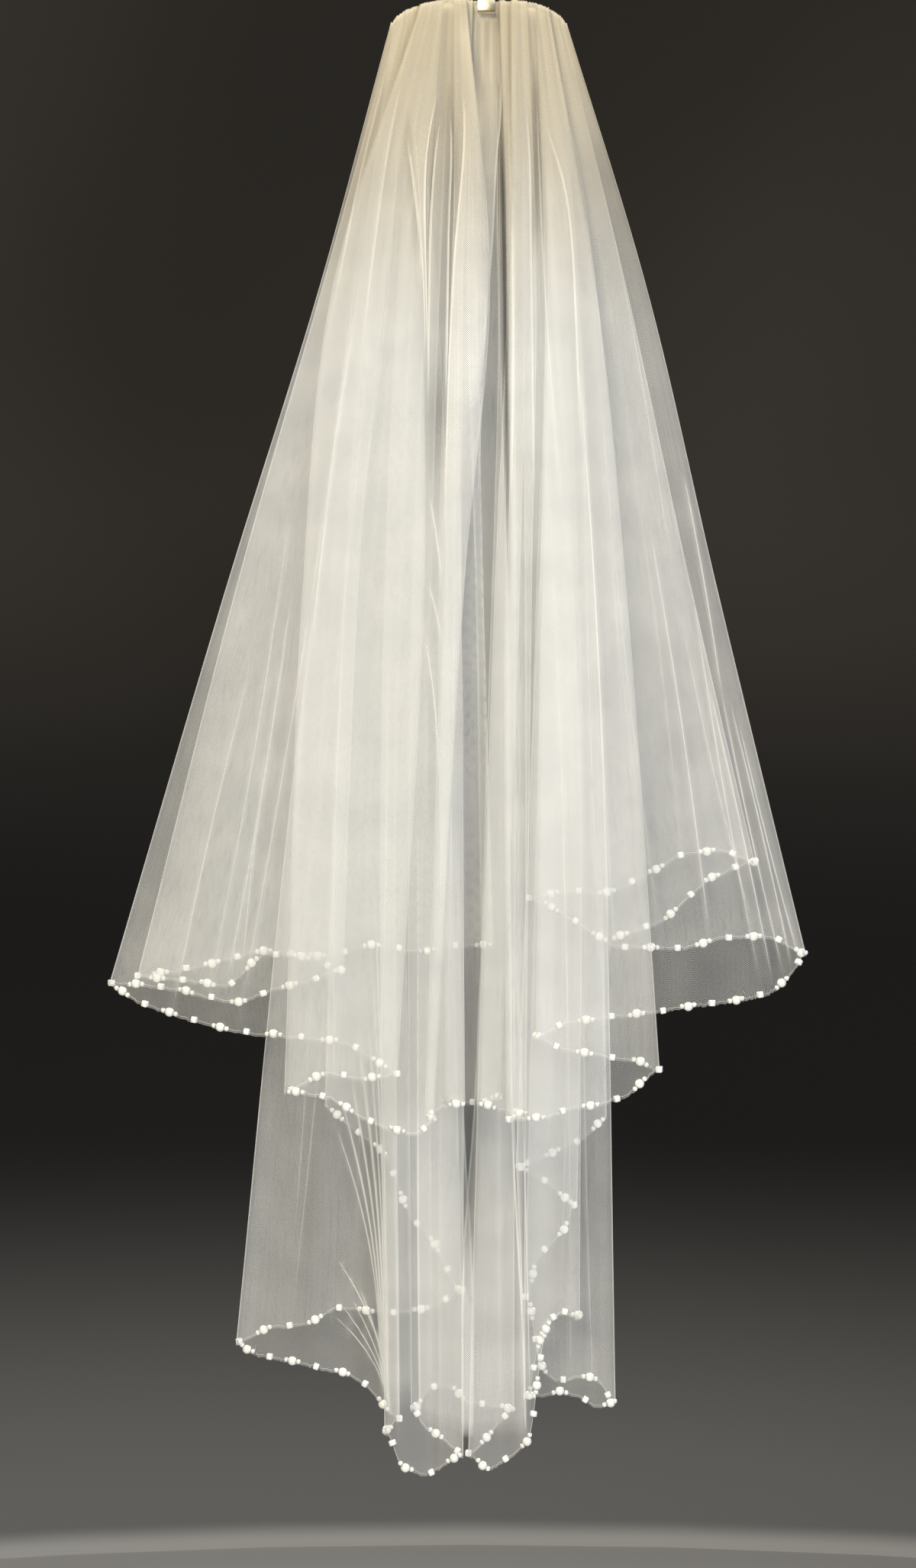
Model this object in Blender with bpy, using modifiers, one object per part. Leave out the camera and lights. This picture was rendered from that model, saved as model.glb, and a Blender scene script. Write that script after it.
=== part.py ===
"""A two-tier tulle veil, gathered on a hair comb and hung from a spring clip.

The front faces -Y, +X is to the right as seen from the front and +Z is up. The origin is the
top of the hole in the clip's tab, where a hook or nail holds the whole piece. Tables are in
millimetres, and every mesh is in metres.

Each tier is one sheet that runs to and fro behind itself in flat folds. A table gives one row
for each fold line, from the left free edge to the right one, with its place across the veil at
the comb, at two heights and at the hem, and the layer that the cloth takes after that fold.
Layer 0 is the front. The layers lie close together at the comb and fan out towards the hem.
"""

import math
from collections import namedtuple

import bmesh
import bpy

MM = 0.001
CLOTH_WALL = 1.0
SEAM_GAP = 0.3

# The gathered top edge
CENTRE_X = -4.6
TOP_Z = -25.0
TOP_HALF_WIDTH = 55.0
TOP_CORNER_DROP = 20.0
TOP_CORNER_POWER = 2.6

# How the layers lie, at the comb and 70 cm below it
FAN_LENGTH = 700.0
FRONT_TOP = -12.0
FRONT_LOW = -70.8
PITCH_TOP = 1.6
PITCH_LOW = 9.0
HALF_WIDTH_TOP = 54.0
HALF_WIDTH_LOW = 210.0
SIDE_RECEDE_TOP = 6.0
SIDE_RECEDE_LOW = 35.0
FAN_POWER = 0.8
FOLD_REACH = 5.0
FOLD_SHARE = 0.35
# A bend nearer to a fold than this share of its panel is left to the fold
BEND_MARGIN = 0.02

# The gathers: how far apart their ridges and troughs lie at the comb, the share of the room
# between two layers that they fill, and how far down they fade out
GATHER_PITCH = 3.4
GATHER_SHARE = 0.34
GATHER_FADE = 0.42

# The heights at which the fold tables give a place, and the rings of points down each tier
UPPER_HEIGHTS = (-201.0, -377.0)
LOWER_HEIGHTS = (-253.0, -487.0)
UPPER_RINGS = 12
LOWER_RINGS = 13
RING_CROWDING = 1.2

COMB_HALF_WIDTH = 45.0
COMB_TEETH = 18
COMB_TOOTH_SHARE = 0.38
COMB_TOOTH_LENGTH = 38.0
COMB_SPINE_HEIGHT = 7.0
COMB_SPINE_BELOW_TOP = 2.0
COMB_THICKNESS = 2.0
COMB_FRONT_Y = 3.6
COMB_BOW = 14.0
COMB_BOW_HALF_WIDTH = 50.0
COMB_TOOTH_TILT = 0.13
# Down each tooth: the share of its length, and of its width at the root
COMB_TOOTH_TAPER = ((0.5, 0.9), (0.9, 0.7), (1.0, 0.4))

CLIP_WIDTH = 10.2
CLIP_SHEET = 0.8
CLIP_BITE = 8.0
CLIP_LIP_FLARE = 2.4
CLIP_LIP_HEIGHT = 2.2
CLIP_SHOULDER_RISE = 5.0
CLIP_LEG_SHARE = 0.6
# The layer of the upper tier that is foremost under the clip
CLIP_FRONT_LAYER = 4
CLIP_ARCH_HEIGHT = 9.0
CLIP_ARCH_STEPS = 12
TAB_THICKNESS = 1.6
TAB_TOP = 5.0
TAB_BOTTOM = -12.0
HOLE_RADIUS = 3.2
HOLE_SIDES = 32
TAB_ROUNDING = 2.5
TAB_ROUNDING_STEPS = 5

Fold = namedtuple("Fold", "name x_top x_upper x_lower x_hem z_hem layer")
Bend = namedtuple("Bend", "x_hem z_hem bow")

# A Bend is a soft turn of the panel between two folds: it shapes the hem, and its bow is how
# far the cloth swells back (or forward, if negative) there, 70 cm below the comb.
UPPER_TIER = (
    Fold("back_free_edge", -14, -6, -2, 4, -599, 5),
    Bend(-14, -598, 1.0),
    Bend(-42, -603, -1.0),
    Bend(-70, -598, 1.5),
    Bend(-102, -606, -1.5),
    Bend(-140, -602, 1.5),
    Bend(-176, -613, -1.0),
    Fold("left_back_corner", -54, -101, -152, -214, -619, 4),
    Bend(-185, -621, 1.5),
    Bend(-155, -624, -1.5),
    Bend(-138, -604, 1.5),
    Bend(-112, -605, -1.0),
    Fold("left_inner_fold", -42, -61, -77, -86, -613, 3),
    Bend(-107, -620, 1.0),
    Bend(-129, -625, -1.5),
    Bend(-150, -634, 1.5),
    Bend(-191, -625, -1.5),
    Fold("left_corner", -58, -102, -157, -230, -623, 2),
    Bend(-215, -632, 1.5),
    Bend(-184, -642, -1.5),
    Bend(-150, -650, 1.5),
    Bend(-117, -652, -1.5),
    Bend(-85, -655, 1.5),
    Bend(-67, -665, -0.5),
    Fold("left_panel_right", -26, -37, -37, -53, -673, 1),
    Bend(-74, -676, 1.0),
    Bend(-95, -672, -1.0),
    Fold("left_panel_left", -40, -93, -110, -120, -683, 0),
    Bend(-105, -684, -1.0),
    Bend(-92, -686, 1.0),
    Bend(-73, -698, -1.5),
    Bend(-55, -704, 0.5),
    Bend(-41, -707, -1.0),
    Fold("knife_right", -12, 2, -13, -31, -699, 1),
    Fold("knife_left", -20, -20, -26, -37, -697, 2),
    Bend(-26, -692, 0.5),
    Fold("slit_left", -8, -14, -15, -13, -691, 3),
    Fold("slit_back_left", -16, -24, -29, -26, -691, 4),
    Bend(-9, -692, 0.5),
    Fold("slit_back_right", 16, 23, 20, 8, -689, 3),
    Fold("slit_right", 8, 12, 5, -6, -691, 2),
    Bend(8, -694, 0.5),
    Fold("band_right", 25, 30, 27, 23, -696, 1),
    Fold("right_panel_left", 15, 14, 10, 11, -698, 0),
    Bend(33, -697, -1.0),
    Bend(49, -692, 1.0),
    Bend(64, -690, -1.5),
    Bend(84, -684, 1.0),
    Fold("right_panel_right", 38, 66, 83, 102, -670, 1),
    Bend(88, -665, 1.0),
    Bend(61, -661, -1.0),
    Bend(40, -657, 1.0),
    Fold("right_inner_fold", 30, 35, 32, 29, -651, 2),
    Bend(46, -643, -1.0),
    Bend(94, -638, 1.5),
    Bend(121, -634, -1.5),
    Bend(146, -632, 1.5),
    Bend(163, -629, -1.5),
    Bend(175, -626, 1.5),
    Bend(186, -614, -1.0),
    Fold("right_corner", 49, 98, 139, 194, -604, 3),
    Bend(176, -594, 1.5),
    Bend(143, -594, -1.5),
    Bend(121, -600, 1.5),
    Bend(77, -599, -1.5),
    Bend(48, -580, 1.0),
    Fold("back_fold", 36, 37, 30, 25, -570, 4),
    Bend(49, -565, 1.0),
    Bend(72, -568, -1.0),
    Bend(98, -555, 1.5),
    Bend(118, -544, -1.5),
    Bend(145, -541, 1.0),
    Fold("high_corner", 46, 86, 124, 164, -549, 5),
    Bend(136, -559, -1.0),
    Bend(108, -584, 1.0),
    Fold("right_free_edge", 40, 54, 65, 76, -595, 5),
)

LOWER_TIER = (
    Fold("left_free_edge", -53, -79, -93, -100, -701, 11),
    Bend(-60, -732, 1.5),
    Bend(-48, -767, -1.0),
    Bend(-33, -783, 1.0),
    Fold("left_inner_fold", -44, -27, -22, -15, -814, 10),
    Bend(-31, -824, 1.0),
    Bend(-56, -828, -1.5),
    Bend(-95, -825, 1.5),
    Bend(-111, -836, -1.0),
    Bend(-136, -839, 1.0),
    Fold("left_corner", -57, -87, -118, -155, -848, 9),
    Bend(-144, -854, 2.0),
    Bend(-109, -859, -2.0),
    Bend(-83, -865, 2.0),
    Bend(-70, -873, -1.5),
    Bend(-63, -884, 1.5),
    Fold("bunch_right", -34, -48, -55, -53, -890, 8),
    Fold("bunch_left", -42, -57, -64, -62, -896, 7),
    Bend(-59, -905, 0.0),
    Bend(-52, -915, -1.5),
    Bend(-36, -921, 1.5),
    Fold("left_lobe_right", -8, -16, -14, -14, -909, 8),
    Bend(-25, -902, 1.0),
    Bend(-38, -893, 0.0),
    Fold("lobe_back_left", -26, -40, -47, -46, -884, 9),
    Bend(-34, -871, 1.0),
    Bend(-21, -871, 0.0),
    Bend(-12, -880, -1.0),
    Fold("lobe_back_right", 18, 18, 18, 17, -884, 8),
    Fold("right_lobe_left", 8, 7, 0, -11, -909, 7),
    Bend(-7, -914, 0.0),
    Bend(1, -917, -0.5),
    Bend(9, -913, 1.0),
    Bend(17, -907, 0.0),
    Bend(26, -900, -1.0),
    Bend(29, -880, 0.0),
    Bend(32, -848, 1.0),
    Bend(36, -829, 0.0),
    Bend(46, -821, -1.0),
    Fold("right_lobe_right", 36, 47, 57, 57, -826, 8),
    Bend(46, -824, 1.0),
    Bend(36, -829, 0.0),
    Bend(30, -850, -0.5),
    Fold("gap_left", 22, 23, 24, 23, -876, 9),
    Bend(35, -876, -1.0),
    Bend(46, -874, 0.0),
    Bend(56, -877, 1.0),
    Bend(67, -884, -1.0),
    Fold("right_corner", 46, 60, 72, 80, -882, 10),
    Bend(71, -870, 1.0),
    Bend(58, -867, -1.0),
    Bend(44, -870, 1.0),
    Bend(34, -862, 0.0),
    Bend(29, -838, -0.5),
    Fold("back_fold", 35, 38, 32, 24, -819, 11),
    Bend(30, -796, 0.5),
    Bend(49, -777, -0.5),
    Fold("back_right_fold", 45, 53, 60, 57, -763, 12),
    Bend(38, -749, 0.5),
    Fold("back_left_fold", 39, 38, 28, 19, -740, 13),
    Bend(33, -736, -0.5),
    Bend(60, -724, 0.5),
    Fold("right_free_edge", 47, 58, 71, 76, -709, 13),
)


def mix(start, end, share):
    return start + (end - start) * share


def drop_share(z):
    """How far down the fan of layers the height z is: 0 at the comb, 1 at 70 cm below it."""
    return (TOP_Z - z) / FAN_LENGTH


def fan_share(z):
    """How far the fan has opened at height z: it opens fastest just below the comb."""
    return max(drop_share(z), 0.0) ** FAN_POWER


def layer_pitch(z):
    return mix(PITCH_TOP, PITCH_LOW, fan_share(z))


def layer_depth(layer, x, z):
    """The y of a layer's middle: the fan's place at this height, and further back at the sides."""
    spread = min(max(drop_share(z), 0.0), 1.0)
    half_width = mix(HALF_WIDTH_TOP, HALF_WIDTH_LOW, spread)
    recede = mix(SIDE_RECEDE_TOP, SIDE_RECEDE_LOW, spread)
    front = mix(FRONT_TOP, FRONT_LOW, fan_share(z))
    return front + layer * layer_pitch(z) + recede * ((x - CENTRE_X) / half_width) ** 2


def top_edge(x):
    """The height of the gathered edge, which rounds down at both ends of the comb."""
    across = min(abs(x - CENTRE_X) / TOP_HALF_WIDTH, 1.0)
    level = (1.0 - across**TOP_CORNER_POWER) ** (1.0 / TOP_CORNER_POWER)
    return TOP_Z - TOP_CORNER_DROP * (1.0 - level)


def smooth_line(knots, z):
    """The value at height z of a smooth line through (height, value) knots, the highest first."""
    z = min(max(z, knots[-1][0]), knots[0][0])
    slopes = [(b[1] - a[1]) / (b[0] - a[0]) for a, b in zip(knots, knots[1:])]
    tangents = [slopes[0]]
    tangents += [(a + b) / 2 for a, b in zip(slopes, slopes[1:])]
    tangents.append(slopes[-1])
    index = 0
    while index < len(knots) - 2 and z < knots[index + 1][0]:
        index += 1
    (z0, v0), (z1, v1) = knots[index], knots[index + 1]
    span = z1 - z0
    u = (z - z0) / span
    return (
        v0 * (1 + 2 * u) * (1 - u) ** 2
        + tangents[index] * span * u * (1 - u) ** 2
        + v1 * u * u * (3 - 2 * u)
        + tangents[index + 1] * span * u * u * (u - 1)
    )


class FoldLine:
    """One fold of a tier, with its neighbours, so that its round turn fits between them."""

    def __init__(self, fold, heights):
        self.fold = fold
        values = (fold.x_top, fold.x_upper, fold.x_lower, fold.x_hem)
        levels = (top_edge(fold.x_top), *heights, fold.z_hem)
        self.knots = list(zip(levels, values))
        self.before = None
        self.after = None

    def x(self, z):
        return smooth_line(self.knots, z)

    def reach(self, z):
        """Half of the turn's depth, no more than the panels beside it have room for."""
        if self.before is None or self.after is None:
            return 0.0
        gap = abs(self.fold.layer - self.before.fold.layer) * layer_pitch(z)
        narrow = min(abs(self.x(z) - near.x(z)) for near in (self.before, self.after))
        return min(gap / 2, FOLD_REACH, FOLD_SHARE * narrow)

    def shoulder(self, z, toward):
        """Where the flat panel that runs toward another fold begins."""
        side = 1 if toward.fold.x_hem > self.fold.x_hem else -1
        return self.x(z) + side * self.reach(z)


class Column:
    """One line of points from the gathered edge to the hem."""

    def __init__(self, x_at, x_top, z_hem, layer, bow=0.0, gather=0.0):
        self.x_at = x_at
        self.z_top = top_edge(x_top)
        self.z_hem = z_hem
        self.layer = layer
        self.bow = bow
        self.gather = gather

    def swell(self, z):
        """How far the column stands out of its layer: gathers above, soft waves below."""
        fade = max(1.0 - drop_share(z) / GATHER_FADE, 0.0)
        room = layer_pitch(z) - CLOTH_WALL
        return self.gather * GATHER_SHARE * room * fade + self.bow * drop_share(z)

    def points(self, rings):
        for ring in range(rings):
            share = (ring / (rings - 1)) ** RING_CROWDING
            z = mix(self.z_top, self.z_hem, share)
            x = self.x_at(z)
            y = layer_depth(self.layer, x, z) + self.swell(z)
            yield (x * MM, y * MM, z * MM)


def value_between(knots, share):
    """The value at a share of the way along (share, value) knots joined by straight lines."""
    for (s0, v0), (s1, v1) in zip(knots, knots[1:]):
        if share <= s1:
            return mix(v0, v1, (share - s0) / (s1 - s0))
    return knots[-1][1]


def panel_columns(start, end, bends):
    """The columns inside the panel between two folds, with a ridge and a trough by turns."""
    start_hem = start.shoulder(start.fold.z_hem, end)
    width = end.shoulder(end.fold.z_hem, start) - start_hem
    inner = [((bend.x_hem - start_hem) / width, bend) for bend in bends]
    inner = [(share, bend) for share, bend in inner if BEND_MARGIN < share < 1 - BEND_MARGIN]
    hem = [(0.0, start.fold.z_hem)] + [(share, bend.z_hem) for share, bend in inner]
    hem.append((1.0, end.fold.z_hem))
    bows = [(0.0, 0.0)] + [(share, bend.bow) for share, bend in inner] + [(1.0, 0.0)]
    gathers = round(abs(end.fold.x_top - start.fold.x_top) / GATHER_PITCH)
    count = max(len(bends), gathers, 1)
    columns = []
    for index in range(count):
        share = (index + 1) / (count + 1)

        def x_at(z, share=share):
            return mix(start.shoulder(z, end), end.shoulder(z, start), share)

        side = 1 if index % 2 else -1
        z_hem = value_between(hem, share)
        bow = value_between(bows, share)
        columns.append(Column(x_at, x_at(TOP_Z), z_hem, start.fold.layer, bow, side))
    return columns


def fold_columns(line):
    """A free edge is one column. A fold is a round turn of three, from one layer to the next."""
    fold = line.fold
    if line.before is None or line.after is None:
        return [Column(line.x, fold.x_top, fold.z_hem, fold.layer)]
    first = line.before.fold.layer
    return [
        Column(lambda z: line.shoulder(z, line.before), fold.x_top, fold.z_hem, first),
        Column(line.x, fold.x_top, fold.z_hem, (first + fold.layer) / 2),
        Column(lambda z: line.shoulder(z, line.after), fold.x_top, fold.z_hem, fold.layer),
    ]


def tier_columns(table, heights):
    lines = [FoldLine(row, heights) for row in table if isinstance(row, Fold)]
    bends = []
    for row in table:
        if isinstance(row, Fold):
            bends.append([])
        else:
            bends[-1].append(row)
    for before, after in zip(lines, lines[1:]):
        before.after = after
        after.before = before
    columns = fold_columns(lines[0])
    for before, after, between in zip(lines, lines[1:], bends):
        columns += panel_columns(before, after, between)
        columns += fold_columns(after)
    return columns


def plain_material(name, colour, roughness, metallic=0.0):
    material = bpy.data.materials.new(name)
    material.use_nodes = True
    shader = material.node_tree.nodes["Principled BSDF"]
    shader.inputs["Base Color"].default_value = (*colour, 1.0)
    shader.inputs["Roughness"].default_value = roughness
    shader.inputs["Metallic"].default_value = metallic
    return material


def new_object(name, mesh, collection, material=None):
    piece = bpy.data.objects.new(name, mesh)
    collection.objects.link(piece)
    if material is not None:
        mesh.materials.append(material)
    return piece


def sheet_mesh(name, rows):
    """An open sheet of four-sided faces through rows of points of equal length."""
    shape = bmesh.new()
    grid = [[shape.verts.new(point) for point in row] for row in rows]
    for row, following in zip(grid, grid[1:]):
        for index in range(len(row) - 1):
            shape.faces.new((row[index], row[index + 1], following[index + 1], following[index]))
    mesh = bpy.data.meshes.new(name)
    shape.to_mesh(mesh)
    shape.free()
    return mesh


def thicken(piece, thickness):
    wall = piece.modifiers.new("Wall", "SOLIDIFY")
    wall.thickness = thickness * MM
    wall.offset = 0.0
    wall.use_even_offset = True


def make_tier(name, table, heights, rings, collection, material):
    rows = [list(column.points(rings)) for column in tier_columns(table, heights)]
    tier = new_object(name, sheet_mesh(name, rows), collection, material)
    tier.data.shade_smooth()
    thicken(tier, CLOTH_WALL)
    return tier


def comb_front(x):
    """The y of the spine's front, which bows round the head."""
    return COMB_FRONT_Y + COMB_BOW * ((x - CENTRE_X) / COMB_BOW_HALF_WIDTH) ** 2


def comb_point(x, z, root):
    """A point of the comb's middle surface. Below the spine the teeth lean away from the cloth."""
    lean = COMB_TOOTH_TILT * max(root - z, 0.0)
    return (x * MM, (comb_front(x) + COMB_THICKNESS / 2 + lean) * MM, z * MM)


def make_comb(collection, material):
    """A sheet along the spine, with a tapering strip below it for each tooth, made thick."""
    pitch = 2 * COMB_HALF_WIDTH / COMB_TEETH
    left = CENTRE_X - COMB_HALF_WIDTH
    half = pitch * COMB_TOOTH_SHARE / 2
    root = TOP_Z - COMB_SPINE_BELOW_TOP - COMB_SPINE_HEIGHT
    tip = root - COMB_TOOTH_LENGTH
    middles = [left + pitch * (index + 0.5) for index in range(COMB_TEETH)]
    across = [left]
    for middle in middles:
        across += [middle - half, middle + half]
    across.append(left + 2 * COMB_HALF_WIDTH)

    shape = bmesh.new()
    above = [shape.verts.new(comb_point(x, top_edge(x) - COMB_SPINE_BELOW_TOP, root)) for x in across]
    below = [shape.verts.new(comb_point(x, root, root)) for x in across]
    for index in range(len(across) - 1):
        shape.faces.new((above[index], below[index], below[index + 1], above[index + 1]))
    for index, middle in enumerate(middles):
        row = (below[2 * index + 1], below[2 * index + 2])
        for share, width in COMB_TOOTH_TAPER:
            z = mix(root, tip, share)
            left_side = shape.verts.new(comb_point(middle - half * width, z, root))
            right_side = shape.verts.new(comb_point(middle + half * width, z, root))
            shape.faces.new((row[0], left_side, right_side, row[1]))
            row = (left_side, right_side)
    mesh = bpy.data.meshes.new("comb")
    shape.to_mesh(mesh)
    shape.free()
    comb = new_object("comb", mesh, collection, material)
    thicken(comb, COMB_THICKNESS)
    return comb


def clip_strip():
    """The clip's bent strip from the front lip, over the arch, to the back leg's foot."""
    bite_z = TOP_Z - CLIP_BITE
    cloth_front = layer_depth(CLIP_FRONT_LAYER, 0.0, bite_z) - CLOTH_WALL / 2
    front = cloth_front - SEAM_GAP - CLIP_SHEET / 2
    comb_back = comb_front(CLIP_WIDTH / 2) + COMB_THICKNESS
    back = comb_back + SEAM_GAP + CLIP_SHEET / 2
    lip_top = bite_z + CLIP_LIP_HEIGHT
    shoulder = TOP_Z + CLIP_SHOULDER_RISE
    leg_middle = mix(bite_z, shoulder, CLIP_LEG_SHARE)
    line = [(front - CLIP_LIP_FLARE, bite_z)]
    line.append((front - CLIP_LIP_FLARE / 3, bite_z + CLIP_LIP_HEIGHT / 2))
    line += [(front, lip_top), (front, leg_middle)]
    for step in range(CLIP_ARCH_STEPS + 1):
        angle = math.pi * (1 - step / CLIP_ARCH_STEPS)
        across = (back - front) / 2 * math.cos(angle)
        rise = CLIP_ARCH_HEIGHT * math.sin(angle)
        line.append(((front + back) / 2 + across, shoulder + rise))
    line += [(back, leg_middle), (back, lip_top)]
    return line


def make_clip(collection, cutters, material):
    line = clip_strip()
    half = CLIP_WIDTH / 2
    rows = [[(side * half * MM, y * MM, z * MM) for y, z in line] for side in (1, -1)]
    clip = new_object("clip", sheet_mesh("clip", rows), collection, material)
    thicken(clip, CLIP_SHEET)

    shape = bmesh.new()
    bmesh.ops.create_cube(shape, size=1.0)
    for vert in shape.verts:
        vert.co.x *= CLIP_WIDTH * MM
        vert.co.y *= TAB_THICKNESS * MM
        vert.co.z = mix(TAB_BOTTOM, TAB_TOP, vert.co.z + 0.5) * MM
    upper = [edge for edge in shape.edges if all(vert.co.z > 0 for vert in edge.verts)]
    corners = [edge for edge in upper if abs(edge.verts[0].co.y - edge.verts[1].co.y) > MM]
    bmesh.ops.bevel(
        shape,
        geom=corners,
        offset=TAB_ROUNDING * MM,
        segments=TAB_ROUNDING_STEPS,
        profile=0.5,
        affect="EDGES",
    )
    mesh = bpy.data.meshes.new("clip_tab")
    shape.to_mesh(mesh)
    shape.free()
    tab = new_object("clip_tab", mesh, cutters)

    shape = bmesh.new()
    bmesh.ops.create_cone(
        shape,
        cap_ends=True,
        segments=HOLE_SIDES,
        radius1=HOLE_RADIUS * MM,
        radius2=HOLE_RADIUS * MM,
        depth=4 * TAB_THICKNESS * MM,
    )
    mesh = bpy.data.meshes.new("clip_hole")
    shape.to_mesh(mesh)
    shape.free()
    hole = new_object("clip_hole", mesh, cutters)
    hole.rotation_euler = (math.pi / 2, 0.0, 0.0)
    hole.location = (0.0, 0.0, -HOLE_RADIUS * MM)

    for helper, operation in ((tab, "UNION"), (hole, "DIFFERENCE")):
        helper.hide_render = True
        helper.display_type = "WIRE"
        step = clip.modifiers.new(helper.name, "BOOLEAN")
        step.operation = operation
        step.object = helper
    return clip


def clear_scene():
    for old in list(bpy.data.objects):
        bpy.data.objects.remove(old)


def main():
    clear_scene()
    parts = bpy.data.collections.new("tulle_veil")
    cutters = bpy.data.collections.new("cutters")
    for collection in (parts, cutters):
        bpy.context.scene.collection.children.link(collection)
    cutters.hide_render = True

    tulle = plain_material("ivory_tulle", (0.86, 0.85, 0.80), 0.6)
    under_tulle = plain_material("ivory_tulle_under", (0.80, 0.81, 0.80), 0.6)
    clear_plastic = plain_material("comb_plastic", (0.82, 0.82, 0.78), 0.25)
    steel = plain_material("clip_steel", (0.80, 0.76, 0.66), 0.25, 1.0)

    make_tier("upper_tier", UPPER_TIER, UPPER_HEIGHTS, UPPER_RINGS, parts, tulle)
    make_tier("lower_tier", LOWER_TIER, LOWER_HEIGHTS, LOWER_RINGS, parts, under_tulle)
    make_comb(parts, clear_plastic)
    make_clip(parts, cutters, steel)


main()
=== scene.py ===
"""A two-tier tulle veil with beaded hems, gathered on a hair comb and hung from a spring clip.

The veil faces -Y, +X is to its right as seen from the front and +Z is up. The origin is the top
of the hole in the clip's tab. Sizes and tables are in millimetres and meshes in metres. Each tier
is one sheet that runs to and fro behind itself: a table gives a row for each fold line, from the
left free edge to the right one, and the layer that the cloth takes after it. Layer 0 is the front.
Creases and gathers are fine pleats in that sheet, laps are pleats over its outside, and partings
are places where less or more of the net is seen.
"""

from __future__ import annotations

import logging
import math
import random
from collections.abc import Callable, Iterable, Sequence
from dataclasses import dataclass, field
from enum import Enum
from typing import NamedTuple
import bmesh
import bpy
import numpy as np
from mathutils import Matrix, Vector


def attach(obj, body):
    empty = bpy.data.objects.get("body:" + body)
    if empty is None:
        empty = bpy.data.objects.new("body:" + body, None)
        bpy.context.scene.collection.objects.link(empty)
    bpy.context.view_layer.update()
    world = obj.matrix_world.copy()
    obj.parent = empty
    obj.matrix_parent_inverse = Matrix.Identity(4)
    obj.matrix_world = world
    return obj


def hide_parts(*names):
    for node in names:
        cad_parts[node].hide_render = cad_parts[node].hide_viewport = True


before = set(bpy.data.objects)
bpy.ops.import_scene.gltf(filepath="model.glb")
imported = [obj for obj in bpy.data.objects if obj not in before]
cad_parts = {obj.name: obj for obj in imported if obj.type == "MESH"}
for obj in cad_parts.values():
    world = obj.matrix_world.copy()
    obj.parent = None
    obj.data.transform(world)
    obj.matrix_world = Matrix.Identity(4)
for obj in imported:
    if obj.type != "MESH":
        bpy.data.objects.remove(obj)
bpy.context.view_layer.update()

LOG = logging.getLogger("tulle_veil")
MM = 0.001
ROOT = "root"

Array = np.ndarray
Trace = tuple[tuple[float, float], ...]


class Slot(Enum):
    """Names for the material slots, which no piece here is given."""

    TULLE = "tulle"
    PEARL = "pearl"
    THREAD = "thread"
    COMB = "comb_plastic"
    CLIP = "clip_steel"


class Fold(NamedTuple):
    """A fold line of a tier, in mm, and the layer that the cloth takes after it.

    Its places across the veil are at the gathered edge, at the tier's two heights and at the hem.
    """

    name: str
    x_top: float
    x_upper: float
    x_lower: float
    x_hem: float
    z_hem: float
    layer: int


class Bend(NamedTuple):
    """A soft turn of the panel between two folds. The bow is its swell 70 cm below the comb."""

    x_hem: float
    z_hem: float
    bow: float


class Crease(NamedTuple):
    """A ridge or trough in the panel after a fold, from one height to a lower one.

    The slack is how far its middle bulges sideways from a straight line. A positive depth goes
    back and a negative one comes forward. The sheen is the cover that it adds along its crest.
    """

    panel: str
    x_start: float
    z_start: float
    x_end: float
    z_end: float
    slack: float
    width: float
    depth: float
    sheen: float


class Side(Enum):
    """The side of the veil that a lap lies on: the way along Y in which it rises."""

    FRONT = -1.0
    BACK = 1.0


class Lap(NamedTuple):
    """A pleat that laps over the outside of a tier: its two edges as (x, z) from the top down.

    The cover is the pleat's own and the edge is that of its folded edges. Each fade is the share
    of its length over which it comes up at its top and goes out at its foot.
    """

    name: str
    left: Trace
    right: Trace
    cover: float
    edge: float
    fade_in: float
    fade_out: float
    side: Side = Side.FRONT


class Parting(NamedTuple):
    """Where the gathers part and less net is seen, or more where the loss is below 0.

    The line is (x, z) from the top down. At the half width the loss has fallen to a third.
    """

    name: str
    line: Trace
    half: float
    loss: float


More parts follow.
